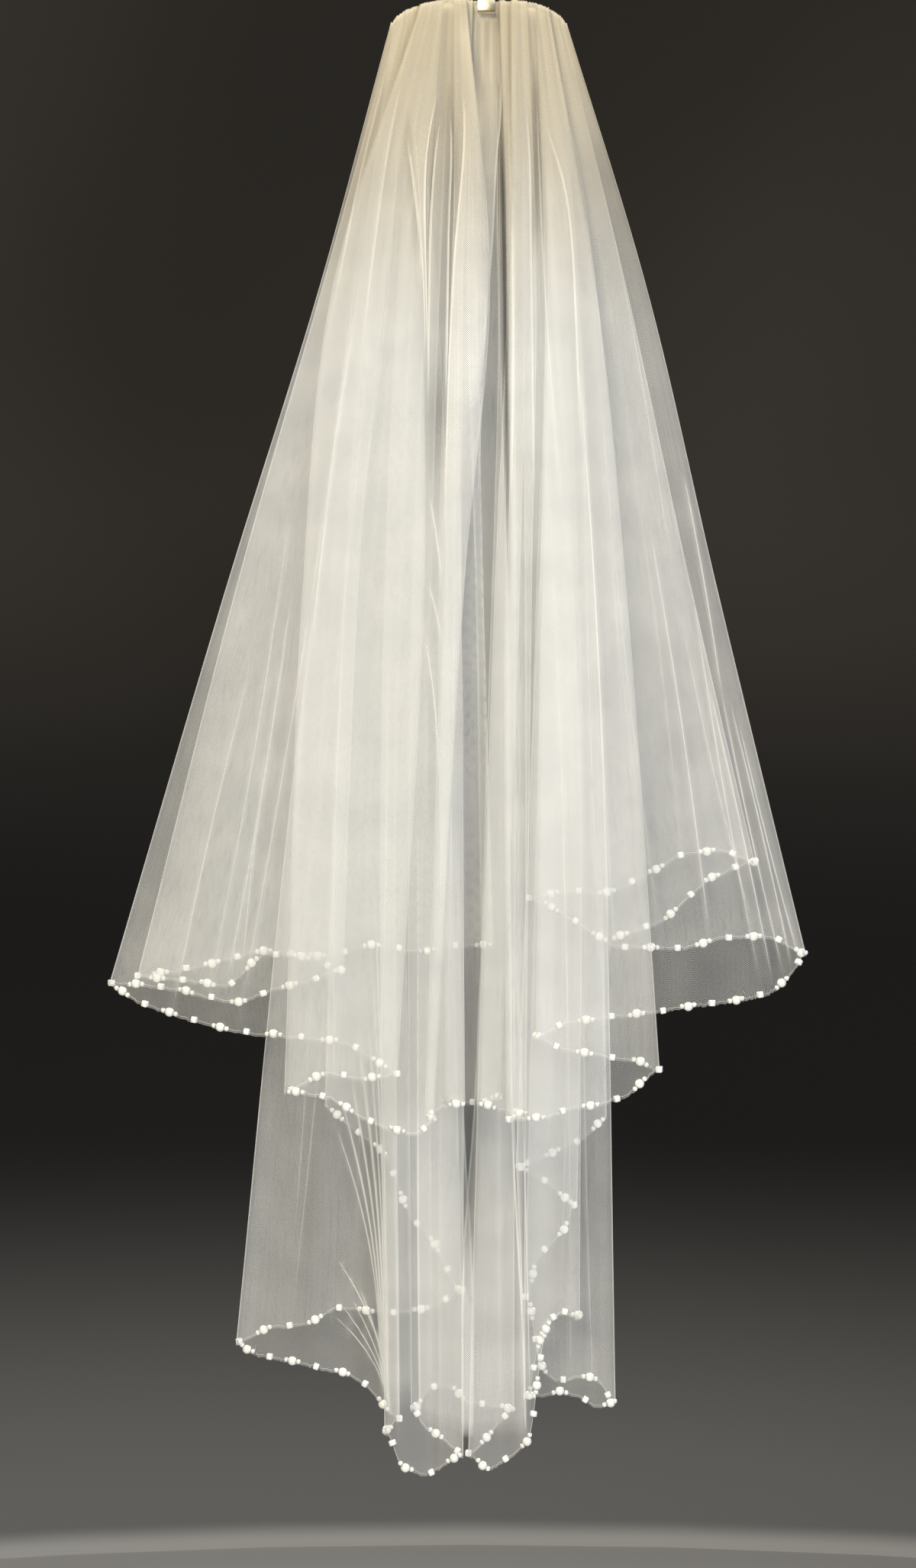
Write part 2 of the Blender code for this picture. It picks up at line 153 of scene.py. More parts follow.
UPPER_FOLDS: tuple[Fold | Bend, ...] = (
    Fold("back_free_edge", -14, -6, -2, 4, -599, 5),
    Bend(-14, -598, 1.0),
    Bend(-42, -603, -1.0),
    Bend(-70, -598, 1.5),
    Bend(-102, -606, -1.5),
    Bend(-140, -602, 1.5),
    Bend(-176, -613, -1.0),
    Fold("left_back_corner", -54, -101, -152, -214, -619, 4),
    Bend(-185, -621, 1.5),
    Bend(-155, -624, -1.5),
    Bend(-138, -604, 1.5),
    Bend(-112, -605, -1.0),
    Fold("left_inner_fold", -42, -61, -77, -86, -613, 3),
    Bend(-107, -620, 1.0),
    Bend(-129, -625, -1.5),
    Bend(-150, -634, 1.5),
    Bend(-191, -625, -1.5),
    Fold("left_corner", -58, -102, -157, -230, -623, 2),
    Bend(-215, -632, 1.5),
    Bend(-184, -642, -1.5),
    Bend(-150, -650, 1.5),
    Bend(-117, -652, -1.5),
    Bend(-85, -655, 1.5),
    Bend(-67, -665, -0.5),
    Fold("left_panel_right", -26, -37, -37, -53, -673, 1),
    Bend(-74, -676, 1.0),
    Bend(-95, -672, -1.0),
    Fold("left_panel_left", -40, -93, -110, -120, -683, 0),
    Bend(-105, -684, -1.0),
    Bend(-92, -686, 1.0),
    Bend(-73, -698, -1.5),
    Bend(-55, -704, 0.5),
    Bend(-41, -707, -1.0),
    Fold("knife_right", -12, 2, -13, -31, -699, 1),
    Fold("knife_left", -20, -20, -26, -37, -697, 2),
    Bend(-26, -692, 0.5),
    Fold("slit_left", -8, -14, -15, -13, -691, 3),
    Fold("slit_back_left", -16, -24, -29, -26, -691, 4),
    Bend(-9, -692, 0.5),
    Fold("slit_back_right", 16, 23, 20, 8, -689, 3),
    Fold("slit_right", 8, 12, 5, -6, -691, 2),
    Bend(8, -694, 0.5),
    Fold("band_right", 25, 30, 27, 23, -696, 1),
    Fold("right_panel_left", 15, 14, 10, 11, -698, 0),
    Bend(33, -697, -1.0),
    Bend(49, -692, 1.0),
    Bend(64, -690, -1.5),
    Bend(84, -684, 1.0),
    Fold("right_panel_right", 38, 66, 83, 102, -670, 1),
    Bend(88, -665, 1.0),
    Bend(61, -661, -1.0),
    Bend(40, -657, 1.0),
    Fold("right_inner_fold", 30, 35, 32, 29, -651, 2),
    Bend(46, -643, -1.0),
    Bend(94, -638, 1.5),
    Bend(121, -634, -1.5),
    Bend(146, -632, 1.5),
    Bend(163, -629, -1.5),
    Bend(175, -626, 1.5),
    Bend(186, -614, -1.0),
    Fold("right_corner", 49, 98, 139, 194, -604, 3),
    Bend(176, -594, 1.5),
    Bend(143, -594, -1.5),
    Bend(121, -600, 1.5),
    Bend(77, -599, -1.5),
    Bend(48, -580, 1.0),
    Fold("back_fold", 36, 37, 30, 25, -570, 4),
    Bend(49, -565, 1.0),
    Bend(72, -568, -1.0),
    Bend(98, -555, 1.5),
    Bend(118, -544, -1.5),
    Bend(145, -541, 1.0),
    Fold("high_corner", 46, 86, 124, 164, -549, 5),
    Bend(136, -559, -1.0),
    Bend(108, -584, 1.0),
    Fold("right_free_edge", 40, 54, 65, 76, -595, 5),
)

LOWER_FOLDS: tuple[Fold | Bend, ...] = (
    Fold("left_free_edge", -53, -79, -93, -100, -701, 11),
    Bend(-60, -732, 1.5),
    Bend(-48, -767, -1.0),
    Bend(-33, -783, 1.0),
    Fold("left_inner_fold", -44, -27, -22, -15, -814, 10),
    Bend(-31, -824, 1.0),
    Bend(-56, -828, -1.5),
    Bend(-95, -825, 1.5),
    Bend(-111, -836, -1.0),
    Bend(-136, -839, 1.0),
    Fold("left_corner", -57, -87, -118, -155, -848, 9),
    Bend(-144, -854, 2.0),
    Bend(-109, -859, -2.0),
    Bend(-83, -865, 2.0),
    Bend(-70, -873, -1.5),
    Bend(-63, -884, 1.5),
    Fold("bunch_right", -34, -48, -55, -53, -890, 8),
    Fold("bunch_left", -42, -57, -64, -62, -896, 7),
    Bend(-59, -905, 0.0),
    Bend(-52, -915, -1.5),
    Bend(-36, -921, 1.5),
    Fold("left_lobe_right", -8, -16, -14, -14, -909, 8),
    Bend(-25, -902, 1.0),
    Bend(-38, -893, 0.0),
    Fold("lobe_back_left", -26, -40, -47, -46, -884, 9),
    Bend(-34, -871, 1.0),
    Bend(-21, -871, 0.0),
    Bend(-12, -880, -1.0),
    Fold("lobe_back_right", 18, 18, 18, 17, -884, 8),
    Fold("right_lobe_left", 8, 7, 0, -11, -909, 7),
    Bend(-7, -914, 0.0),
    Bend(1, -917, -0.5),
    Bend(9, -913, 1.0),
    Bend(17, -907, 0.0),
    Bend(26, -900, -1.0),
    Bend(29, -880, 0.0),
    Bend(32, -848, 1.0),
    Bend(36, -829, 0.0),
    Bend(46, -821, -1.0),
    Fold("right_lobe_right", 36, 47, 57, 57, -826, 8),
    Bend(46, -824, 1.0),
    Bend(36, -829, 0.0),
    Bend(30, -850, -0.5),
    Fold("gap_left", 22, 23, 24, 23, -876, 9),
    Bend(35, -876, -1.0),
    Bend(46, -874, 0.0),
    Bend(56, -877, 1.0),
    Bend(67, -884, -1.0),
    Fold("right_corner", 46, 60, 72, 80, -882, 10),
    Bend(71, -870, 1.0),
    Bend(58, -867, -1.0),
    Bend(44, -870, 1.0),
    Bend(34, -862, 0.0),
    Bend(29, -838, -0.5),
    Fold("back_fold", 35, 38, 32, 24, -819, 11),
    Bend(30, -796, 0.5),
    Bend(49, -777, -0.5),
    Fold("back_right_fold", 45, 53, 60, 57, -763, 12),
    Bend(38, -749, 0.5),
    Fold("back_left_fold", 39, 38, 28, 19, -740, 13),
    Bend(33, -736, -0.5),
    Bend(60, -724, 0.5),
    Fold("right_free_edge", 47, 58, 71, 76, -709, 13),
)

UPPER_CREASES: tuple[Crease, ...] = (
    Crease("left_back_corner", -117, -378, -157, -622, 2, 4.0, -2.2, 0.24),
    Crease("left_back_corner", -130, -470, -148, -616, -2, 3.5, 1.8, 0.18),
    Crease("left_back_corner", -84, -230, -112, -600, 3, 5.0, -1.8, 0.08),
    Crease("left_inner_fold", -92, -260, -122, -618, -2, 5.0, 1.8, 0.10),
    Crease("left_inner_fold", -118, -330, -168, -628, 3, 4.0, -1.8, 0.12),
    Crease("left_corner", -70, -120, -148, -640, 5, 4.5, -2.2, 0.14),
    Crease("left_corner", -62, -90, -112, -600, 6, 4.0, 1.8, 0.08),
    Crease("left_corner", -140, -420, -190, -640, -2, 4.0, 2.0, 0.10),
    Crease("left_corner", -50, -70, -74, -420, 3, 4.0, 1.6, 0.06),
    Crease("left_panel_left", -80, -224, -104, -418, -2, 3.0, -1.6, 0.20),
    Crease("left_panel_left", -35, -326, -27, -380, 1, 2.4, -1.4, 0.22),
    Crease("left_panel_left", -36, -378, -27, -416, 1, 2.4, -1.4, 0.20),
    Crease("left_panel_left", -37, -411, -29, -495, 2, 2.6, -1.4, 0.20),
    Crease("left_panel_left", -45, -95, -40, -196, 2, 2.6, -1.2, 0.22),
    Crease("left_panel_left", -36, -72, -44, -120, -2, 2.4, 1.2, 0.14),
    Crease("left_panel_left", -52, -90, -74, -330, 3, 4.0, 1.8, 0.06),
    Crease("left_panel_left", -60, -420, -64, -690, 2, 6.0, 1.8, 0.05),
    Crease("left_panel_left", -84, -380, -90, -688, -3, 6.0, -1.8, 0.06),
    Crease("knife_left", -18, -230, -24, -660, 1, 3.0, -1.2, 0.10),
    Crease("slit_right", 14, -90, 12, -400, 2, 3.0, -1.2, 0.10),
    Crease("slit_back_left", -4, -80, -10, -300, 1, 3.2, 1.2, 0.08),
    Crease("right_panel_left", 52, -209, 72, -597, 3, 3.0, -1.8, 0.22),
    Crease("right_panel_left", 30, -80, 44, -330, -2, 3.2, -1.6, 0.16),
    Crease("right_panel_left", 36, -300, 48, -690, 2, 5.0, 1.8, 0.06),
    Crease("right_panel_left", 24, -110, 27, -240, 1, 2.6, 1.2, 0.10),
    Crease("right_panel_right", 58, -240, 70, -660, -3, 5.0, 1.8, 0.08),
    Crease("right_inner_fold", 60, -150, 104, -600, -4, 5.0, -2.0, 0.10),
    Crease("right_inner_fold", 119, -311, 142, -445, 1, 3.5, -1.8, 0.20),
    Crease("right_inner_fold", 124, -380, 164, -616, -2, 3.0, 1.8, 0.10),
    Crease("right_inner_fold", 134, -440, 172, -618, 1, 2.4, -1.6, 0.16),
    Crease("right_inner_fold", 141, -440, 179, -614, -1, 2.0, 1.4, 0.14),
    Crease("right_inner_fold", 147, -450, 184, -610, 1, 2.0, -1.4, 0.18),
    Crease("right_inner_fold", 152, -460, 189, -606, -1, 2.0, 1.2, 0.16),
    Crease("right_corner", 98, -341, 134, -592, 2, 3.5, -2.0, 0.20),
    Crease("right_corner", 118, -400, 162, -590, -2, 3.0, 1.6, 0.10),
    Crease("right_corner", 60, -160, 84, -560, 4, 5.0, 1.8, 0.06),
    Crease("back_fold", 62, -200, 96, -552, -3, 5.0, -1.8, 0.10),
    Crease("high_corner", 82, -260, 120, -560, 3, 5.0, 1.8, 0.08),
)

LOWER_CREASES: tuple[Crease, ...] = (
    Crease("left_free_edge", -60, -260, -66, -720, 2, 5.0, 1.8, 0.06),
    Crease("left_inner_fold", -60, -300, -80, -800, -3, 6.0, -2.0, 0.06),
    Crease("left_inner_fold", -84, -420, -120, -830, 3, 6.0, 2.0, 0.05),
    Crease("left_corner", -93.8, -706, -64.6, -868, 8.2, 1.8, 0.6, 0.17),
    Crease("left_corner", -90.5, -688, -64, -870, 7.3, 1.8, -0.7, 0.2),
    Crease("left_corner", -87.3, -700, -63.4, -872, 6.4, 1.8, 0.6, 0.18),
    Crease("left_corner", -84, -676, -62.9, -874, 5.5, 1.8, -0.7, 0.24),
    Crease("left_corner", -81.2, -690, -62.4, -876, 4.7, 1.8, 0.6, 0.21),
    Crease("left_corner", -78.4, -660, -61.8, -878, 3.9, 1.8, -0.7, 0.28),
    Crease("left_corner", -75.6, -672, -61.3, -880, 3.2, 1.8, 0.6, 0.22),
    Crease("left_corner", -72.9, -640, -60.8, -882, 2.4, 1.8, -0.7, 0.32),
    Crease("left_corner", -70.6, -600, -60.3, -884, 1.8, 1.8, 0.6, 0.26),
    Crease("left_corner", -68.6, -560, -59.8, -886, 1.3, 1.8, -0.7, 0.3),
    Crease("left_corner", -94, -788, -60, -880, 8, 1.8, -0.6, 0.19),
    Crease("left_corner", -99, -822, -61, -876, 7, 1.8, -0.6, 0.17),
    Crease("left_corner", -91, -818, -59.5, -882, 6, 1.8, -0.6, 0.2),
    Crease("left_corner", -85, -812, -59, -886, 5, 1.8, -0.6, 0.18),
    Crease("left_corner", -79, -806, -58.5, -888, 4, 1.8, -0.6, 0.21),
    Crease("left_corner", -98, -400, -118, -780, 3, 7.0, 2.0, 0.04),
    Crease("left_corner", -78, -350, -96, -700, 2, 5.0, -1.8, 0.05),
    Crease("bunch_left", -57, -700, -54, -890, 1, 2.4, -1.4, 0.14),
    Crease("bunch_left", -40, -300, -34, -905, 2, 4.0, 1.6, 0.08),
    Crease("bunch_left", -26, -500, -28, -912, -1, 3.0, -1.4, 0.08),
    Crease("lobe_back_left", -14, -400, -18, -876, 2, 4.0, 1.6, 0.08),
    Crease("right_lobe_left", 16, -692, 24, -890, 1, 2.4, -1.4, 0.20),
    Crease("right_lobe_left", 14, -560, 22, -894, 1, 1.8, -0.8, 0.12),
    Crease("right_lobe_left", 18, -600, 26.5, -880, 1, 1.8, -0.8, 0.16),
    Crease("right_lobe_left", 18, -300, 21, -885, 0, 5.0, 0.0, 0.60),
    Crease("right_lobe_left", 10, -380, 8, -900, -1, 4.0, 1.6, 0.08),
    Crease("gap_left", 44, -400, 52, -872, 2, 5.0, -1.8, 0.08),
    Crease("gap_left", 60, -560, 66, -880, -2, 4.0, 1.6, 0.06),
    Crease("right_corner", 50, -500, 46, -820, 2, 5.0, 1.6, 0.06),
    Crease("back_right_fold", 46, -420, 40, -740, -2, 4.0, -1.6, 0.08),
    Crease("back_left_fold", 48, -300, 46, -722, 2, 4.0, 1.6, 0.10),
    Crease("back_left_fold", 60, -380, 62, -716, -2, 4.0, -1.6, 0.08),
)

UPPER_LAPS: tuple[Lap, ...] = (
    Lap(
        "strap",
        ((-48.9, -107), (-45.1, -135), (-41, -168), (-38.7, -189), (-37.3, -223), (-37.2, -260)),
        ((-28.2, -80), (-35.1, -111), (-36.9, -136), (-36.4, -181), (-35.4, -223), (-35.4, -260)),
        0.24, 0.7, 0.12, 0.3,
    ),
    Lap(
        "left_pleat",
        ((-26.8, -92), (-31, -114), (-33.2, -144), (-34.6, -172), (-35.4, -236), (-35.8, -288)),
        ((-21.8, -89), (-20, -112), (-20.9, -135), (-22.2, -163), (-23.1, -236), (-24.5, -288)),
        0.2, 0.62, 0.15, 0.3,
    ),
    Lap(
        "middle_pleat",
        (
            (-15.8, -74), (-13.5, -93), (-13.5, -111), (-15.4, -136),
            (-19.9, -181), (-22.7, -236), (-24.9, -306), (-26.3, -379),
        ),
        (
            (9.5, -64), (10.8, -88), (6.7, -116), (5.7, -135),
            (4.8, -163), (1.1, -209), (-2.6, -269), (-5.4, -352),
        ),
        0.38, 0.8, 0.1, 0.35,
    ),
    Lap(
        "right_pleat",
        ((12.2, -79), (13.5, -126), (14.8, -163), (15.2, -236), (14.6, -288), (13.6, -352)),
        ((23.3, -79), (26.8, -121), (27.1, -181), (27.9, -236), (28.3, -288), (29, -352)),
        0.2, 0.7, 0.15, 0.3,
    ),
    Lap(
        "right_side_pleat",
        ((31.5, -93), (43.8, -129), (47.8, -144), (51.4, -181), (53.5, -236), (55.5, -306)),
        ((43.5, -83), (52.6, -104), (57.9, -135), (63.3, -177), (69.4, -233), (76.4, -306)),
        0.14, 0.54, 0.15, 0.4,
    ),
    Lap(
        "left_side_pleat",
        ((-59.5, -60), (-66.8, -88), (-73.6, -116), (-79.5, -144), (-85.8, -177), (-94.7, -223)),
        ((-48.9, -69), (-55.8, -98), (-60.7, -130), (-65.2, -163), (-69.3, -196), (-74.6, -246)),
        0.14, 0.48, 0.12, 0.4,
    ),
)

LOWER_LAPS: tuple[Lap, ...] = (
    Lap(
        "right_lobe_lap",
        (
            (1.3, -515), (-3.3, -604), (-7.9, -708), (-11.6, -747),
            (-14.4, -784), (-15.3, -839), (-14.4, -897),
        ),
        (
            (14.3, -515), (15.2, -604), (16.1, -708), (18, -747),
            (20.3, -789), (23.1, -835), (24.4, -895),
        ),
        0.24, 0.55, 0.1, 0.04,
    ),
    Lap(
        "left_lobe_lap",
        ((-42.2, -515), (-42.2, -708), (-42.2, -747), (-41.7, -812), (-40.8, -887)),
        ((-17.2, -515), (-13.5, -708), (-11.2, -747), (-8.4, -784), (-7.9, -839), (-8.9, -897)),
        0.24, 0.45, 0.1, 0.04,
    ),
    Lap(
        "lobe_overlap",
        ((-15.8, -756), (-15.8, -812), (-15.3, -897)),
        ((-7, -756), (-7, -812), (-7.9, -897)),
        0.3, 0.36, 0.6, 0.1,
    ),
    Lap(
        "bunch_lap",
        ((-61.2, -580), (-63, -708), (-62.6, -765), (-61.2, -835), (-59.8, -886)),
        ((-48.7, -580), (-46.8, -708), (-46.4, -765), (-45.9, -835), (-45.9, -881)),
        0.22, 0.3, 0.1, 0.08,
    ),
    Lap(
        "back_left_pleat",
        ((-34, -40), (-48, -240), (-56, -480), (-60, -690)),
        ((-22, -40), (-30, -240), (-36, -480), (-44, -700)),
        0.2, 0.45, 0.1, 0.3, Side.BACK,
    ),
    Lap(
        "back_middle_pleat",
        ((-10, -36), (-12, -200), (-6, -400), (-2, -690)),
        ((6, -36), (8, -200), (14, -400), (16, -700)),
        0.2, 0.5, 0.1, 0.3, Side.BACK,
    ),
    Lap(
        "back_right_pleat",
        ((24, -40), (34, -240), (40, -440), (42, -660)),
        ((34, -42), (46, -240), (58, -440), (66, -670)),
        0.2, 0.45, 0.1, 0.3, Side.BACK,
    ),
)

PARTINGS: tuple[Parting, ...] = (
    Parting(
        "centre_left",
        ((-17.2, -72), (-20.9, -107), (-25, -168), (-27.7, -236), (-30.4, -325)),
        10.0, 0.62,
    ),
    Parting(
        "right_slit",
        ((8.1, -88), (10.3, -144), (11.5, -214), (12.4, -288), (12.7, -379)),
        1.8, 0.85,
    ),
    Parting("right_hatch", ((30.2, -69), (30.5, -126), (28.5, -182)), 3.0, 0.45),
    Parting("left_hatch", ((-47.5, -98), (-44.2, -140), (-41.9, -182)), 3.0, 0.35),
    Parting("right_fill", ((24.1, -121), (29.4, -182), (31.1, -260), (30.8, -361)), 6.0, -0.45),
    Parting("middle_fill", ((-7.2, -329), (-8.2, -488), (-8.3, -756)), 6.0, -0.3),
    Parting("right_side", ((95.9, -397), (117.4, -605)), 32.0, 0.14),
    Parting("left_side", ((-173.1, -420), (-203.5, -591)), 16.0, 0.14),
    Parting("right_bright", ((48.6, -525), (48.6, -673), (47.6, -839)), 10.0, 0.26),
    Parting("low_left", ((-102.9, -696), (-100.5, -830)), 36.0, 0.13),
    Parting("top_fill", ((-12.6, -36), (-8.9, -74), (-5.3, -116)), 5.0, -0.8),
    Parting("top_right_fill", ((1.2, -55), (2.1, -98), (3, -135)), 4.0, -0.5),
)


def mix(start: Array | float, end: Array | float, share: Array | float) -> Array | float:
    """The value at a share of the way from start to end."""
    return start + (end - start) * share


def smooth_step(value: Array | float) -> Array:
    """A soft rise from 0 to 1 as the value goes from 0 to 1."""
    inside = np.clip(value, 0.0, 1.0)
    return inside * inside * (3.0 - 2.0 * inside)


def at_height(z: Array | float, heights: Array, values: Array) -> Array:
    """The value at a height of something that is given from the top down."""
    return np.interp(-z, -heights, values)


def grid_faces(rows: int, columns: int) -> Array:
    """The four corners of each face between the points of a grid.

    Args:
        rows: The grid's rows.
        columns: The points in a row.

    Returns:
        Each face's four points, by number.
    """
    index = np.arange(rows * columns).reshape(rows, columns)
    corners = [index[:-1, :-1], index[:-1, 1:], index[1:, 1:], index[1:, :-1]]
    return np.stack(corners, axis=-1).reshape(-1, 4)


def softened(values: Array, passes: int) -> Array:
    """Rows of values with each but the first and last drawn towards its neighbours.

    Args:
        values: The rows.
        passes: How often they are drawn.

    Returns:
        The softer rows.
    """
    soft = values.copy()
    for _ in range(passes):
        soft[1:-1] = (soft[:-2] + 2 * soft[1:-1] + soft[2:]) / 4
    return soft


def run_lengths(points: Array) -> Array:
    """How far along a line each of its points is."""
    steps = np.linalg.norm(np.diff(points, axis=0), axis=1)
    return np.concatenate(([0.0], np.cumsum(steps)))


def add_piece(name: str, data: bpy.types.ID) -> bpy.types.Object:
    """Puts a mesh, curve, lamp or camera into the scene as a new object.

    Args:
        name: The object's name.
        data: What it shows.

    Returns:
        The object.
    """
    piece = bpy.data.objects.new(name, data)
    bpy.context.scene.collection.objects.link(piece)
    return piece


def plain_mesh(name: str, points: Array, faces: Sequence[Sequence[int]]) -> bpy.types.Mesh:
    """A mesh of points in metres and the faces between them.

    Args:
        name: The mesh's name.
        points: Its points.
        faces: Each face's points, by number.

    Returns:
        The mesh.
    """
    mesh = bpy.data.meshes.new(name)
    mesh.from_pydata(points.tolist(), [], faces)
    mesh.update()
    return mesh


@dataclass(frozen=True)
class LayerFan:
    """How the layers of both tiers lie behind each other, close at the comb and wider below."""

    centre_x: float = -4.6
    top_z: float = -25.0
    top_half_width: float = 55.0
    corner_drop: float = 20.0
    corner_power: float = 2.6
    length: float = 700.0
    front_top: float = -12.0
    front_low: float = -70.8
    pitch_top: float = 1.6
    pitch_low: float = 9.0
    half_width_top: float = 54.0
    half_width_low: float = 210.0
    recede_top: float = 6.0
    recede_low: float = 35.0
    power: float = 0.8

    def drop(self, z: Array | float) -> Array:
        """How far down the fan a height is: 0 at the comb and 1 at 70 cm below it."""
        return np.maximum((self.top_z - np.asarray(z, float)) / self.length, 0.0)

    def pitch(self, z: Array | float) -> Array:
        """The room between two layers at a height."""
        return mix(self.pitch_top, self.pitch_low, self.drop(z) ** self.power)

    def depth(self, layer: Array | float, x: Array, z: Array) -> Array:
        """The place of a layer from front to back.

        Args:
            layer: The layer, where 0 is the front one.
            x: Places across the veil.
            z: Heights.

        Returns:
            The y of the layer at those places, which recedes at the sides.
        """
        spread = np.minimum(self.drop(z), 1.0)
        half_width = mix(self.half_width_top, self.half_width_low, spread)
        recede = mix(self.recede_top, self.recede_low, spread)
        front = mix(self.front_top, self.front_low, self.drop(z) ** self.power)
        return front + layer * self.pitch(z) + recede * ((x - self.centre_x) / half_width) ** 2

    def top_edge(self, x: Array | float) -> Array:
        """The height of the gathered edge, which rounds down at both ends of the comb.

        Args:
            x: Places across the veil.

        Returns:
            The z of the edge there.
        """
        across = np.minimum(np.abs(x - self.centre_x) / self.top_half_width, 1.0)
        level = (1.0 - across**self.corner_power) ** (1.0 / self.corner_power)
        return self.top_z - self.corner_drop * (1.0 - level)


FAN = LayerFan()


class FoldLine:
    """One fold of a tier and its neighbours, so that its round turn fits between them."""

    REACH = 3.0
    SHARE = 0.35

    def __init__(self, fold: Fold, heights: tuple[float, float]) -> None:
        """Keeps the fold's smooth line.

        Args:
            fold: The row of the table.
            heights: The two heights between the comb and the hem at which it gives a place.
        """
        self.fold = fold
        self.levels = np.array([FAN.top_edge(fold.x_top), *heights, fold.z_hem], float)
        self.places = np.array([fold.x_top, fold.x_upper, fold.x_lower, fold.x_hem], float)
        slopes = np.diff(self.places) / np.diff(self.levels)
        self.tangents = np.array([slopes[0], *((slopes[1:] + slopes[:-1]) / 2), slopes[-1]])
        self.before: FoldLine | None = None
        self.after: FoldLine | None = None

    def x(self, z: Array) -> Array:
        """The fold's place across the veil at each height, along a smooth line.

        Args:
            z: Heights.

        Returns:
            The fold's x at each height.
        """
        z = np.clip(z, self.levels[-1], self.levels[0])
        index = np.sum(z[..., None] < self.levels[1:-1], axis=-1)
        start, end = self.levels[index], self.levels[index + 1]
        span = end - start
        u = (z - start) / span
        return (
            self.places[index] * (1 + 2 * u) * (1 - u) ** 2
            + self.tangents[index] * span * u * (1 - u) ** 2
            + self.places[index + 1] * u * u * (3 - 2 * u)
            + self.tangents[index + 1] * span * u * u * (u - 1)
        )

    def reach(self, z: Array) -> Array:
        """Half of the turn's depth, no more than the panels beside it have room for.

        Args:
            z: Heights.

        Returns:
            The half depth in mm, and 0 at a free edge.
        """
        if self.before is None or self.after is None:
            return np.zeros_like(z)
        gap = abs(self.fold.layer - self.before.fold.layer) * FAN.pitch(z)
        narrow = np.minimum(
            np.abs(self.x(z) - self.before.x(z)), np.abs(self.x(z) - self.after.x(z))
        )
        return np.minimum(np.minimum(gap / 2, self.REACH), self.SHARE * narrow)

    def shoulder(self, z: Array, toward: FoldLine) -> Array:
        """Where the flat panel that runs toward another fold begins."""
        side = 1 if toward.fold.x_hem > self.fold.x_hem else -1
        return self.x(z) + side * self.reach(z)


@dataclass
class Strand:
    """One line of points of a tier, from the gathered edge to the hem, in mm."""

    x: Array
    y: Array
    z: Array
    cover: Array
    panel: int = 0


@dataclass
class Pinch:
    """A fine pinched fold that stands up from the sheet: its line in mm, and its strength."""

    line: Array
    strength: Array


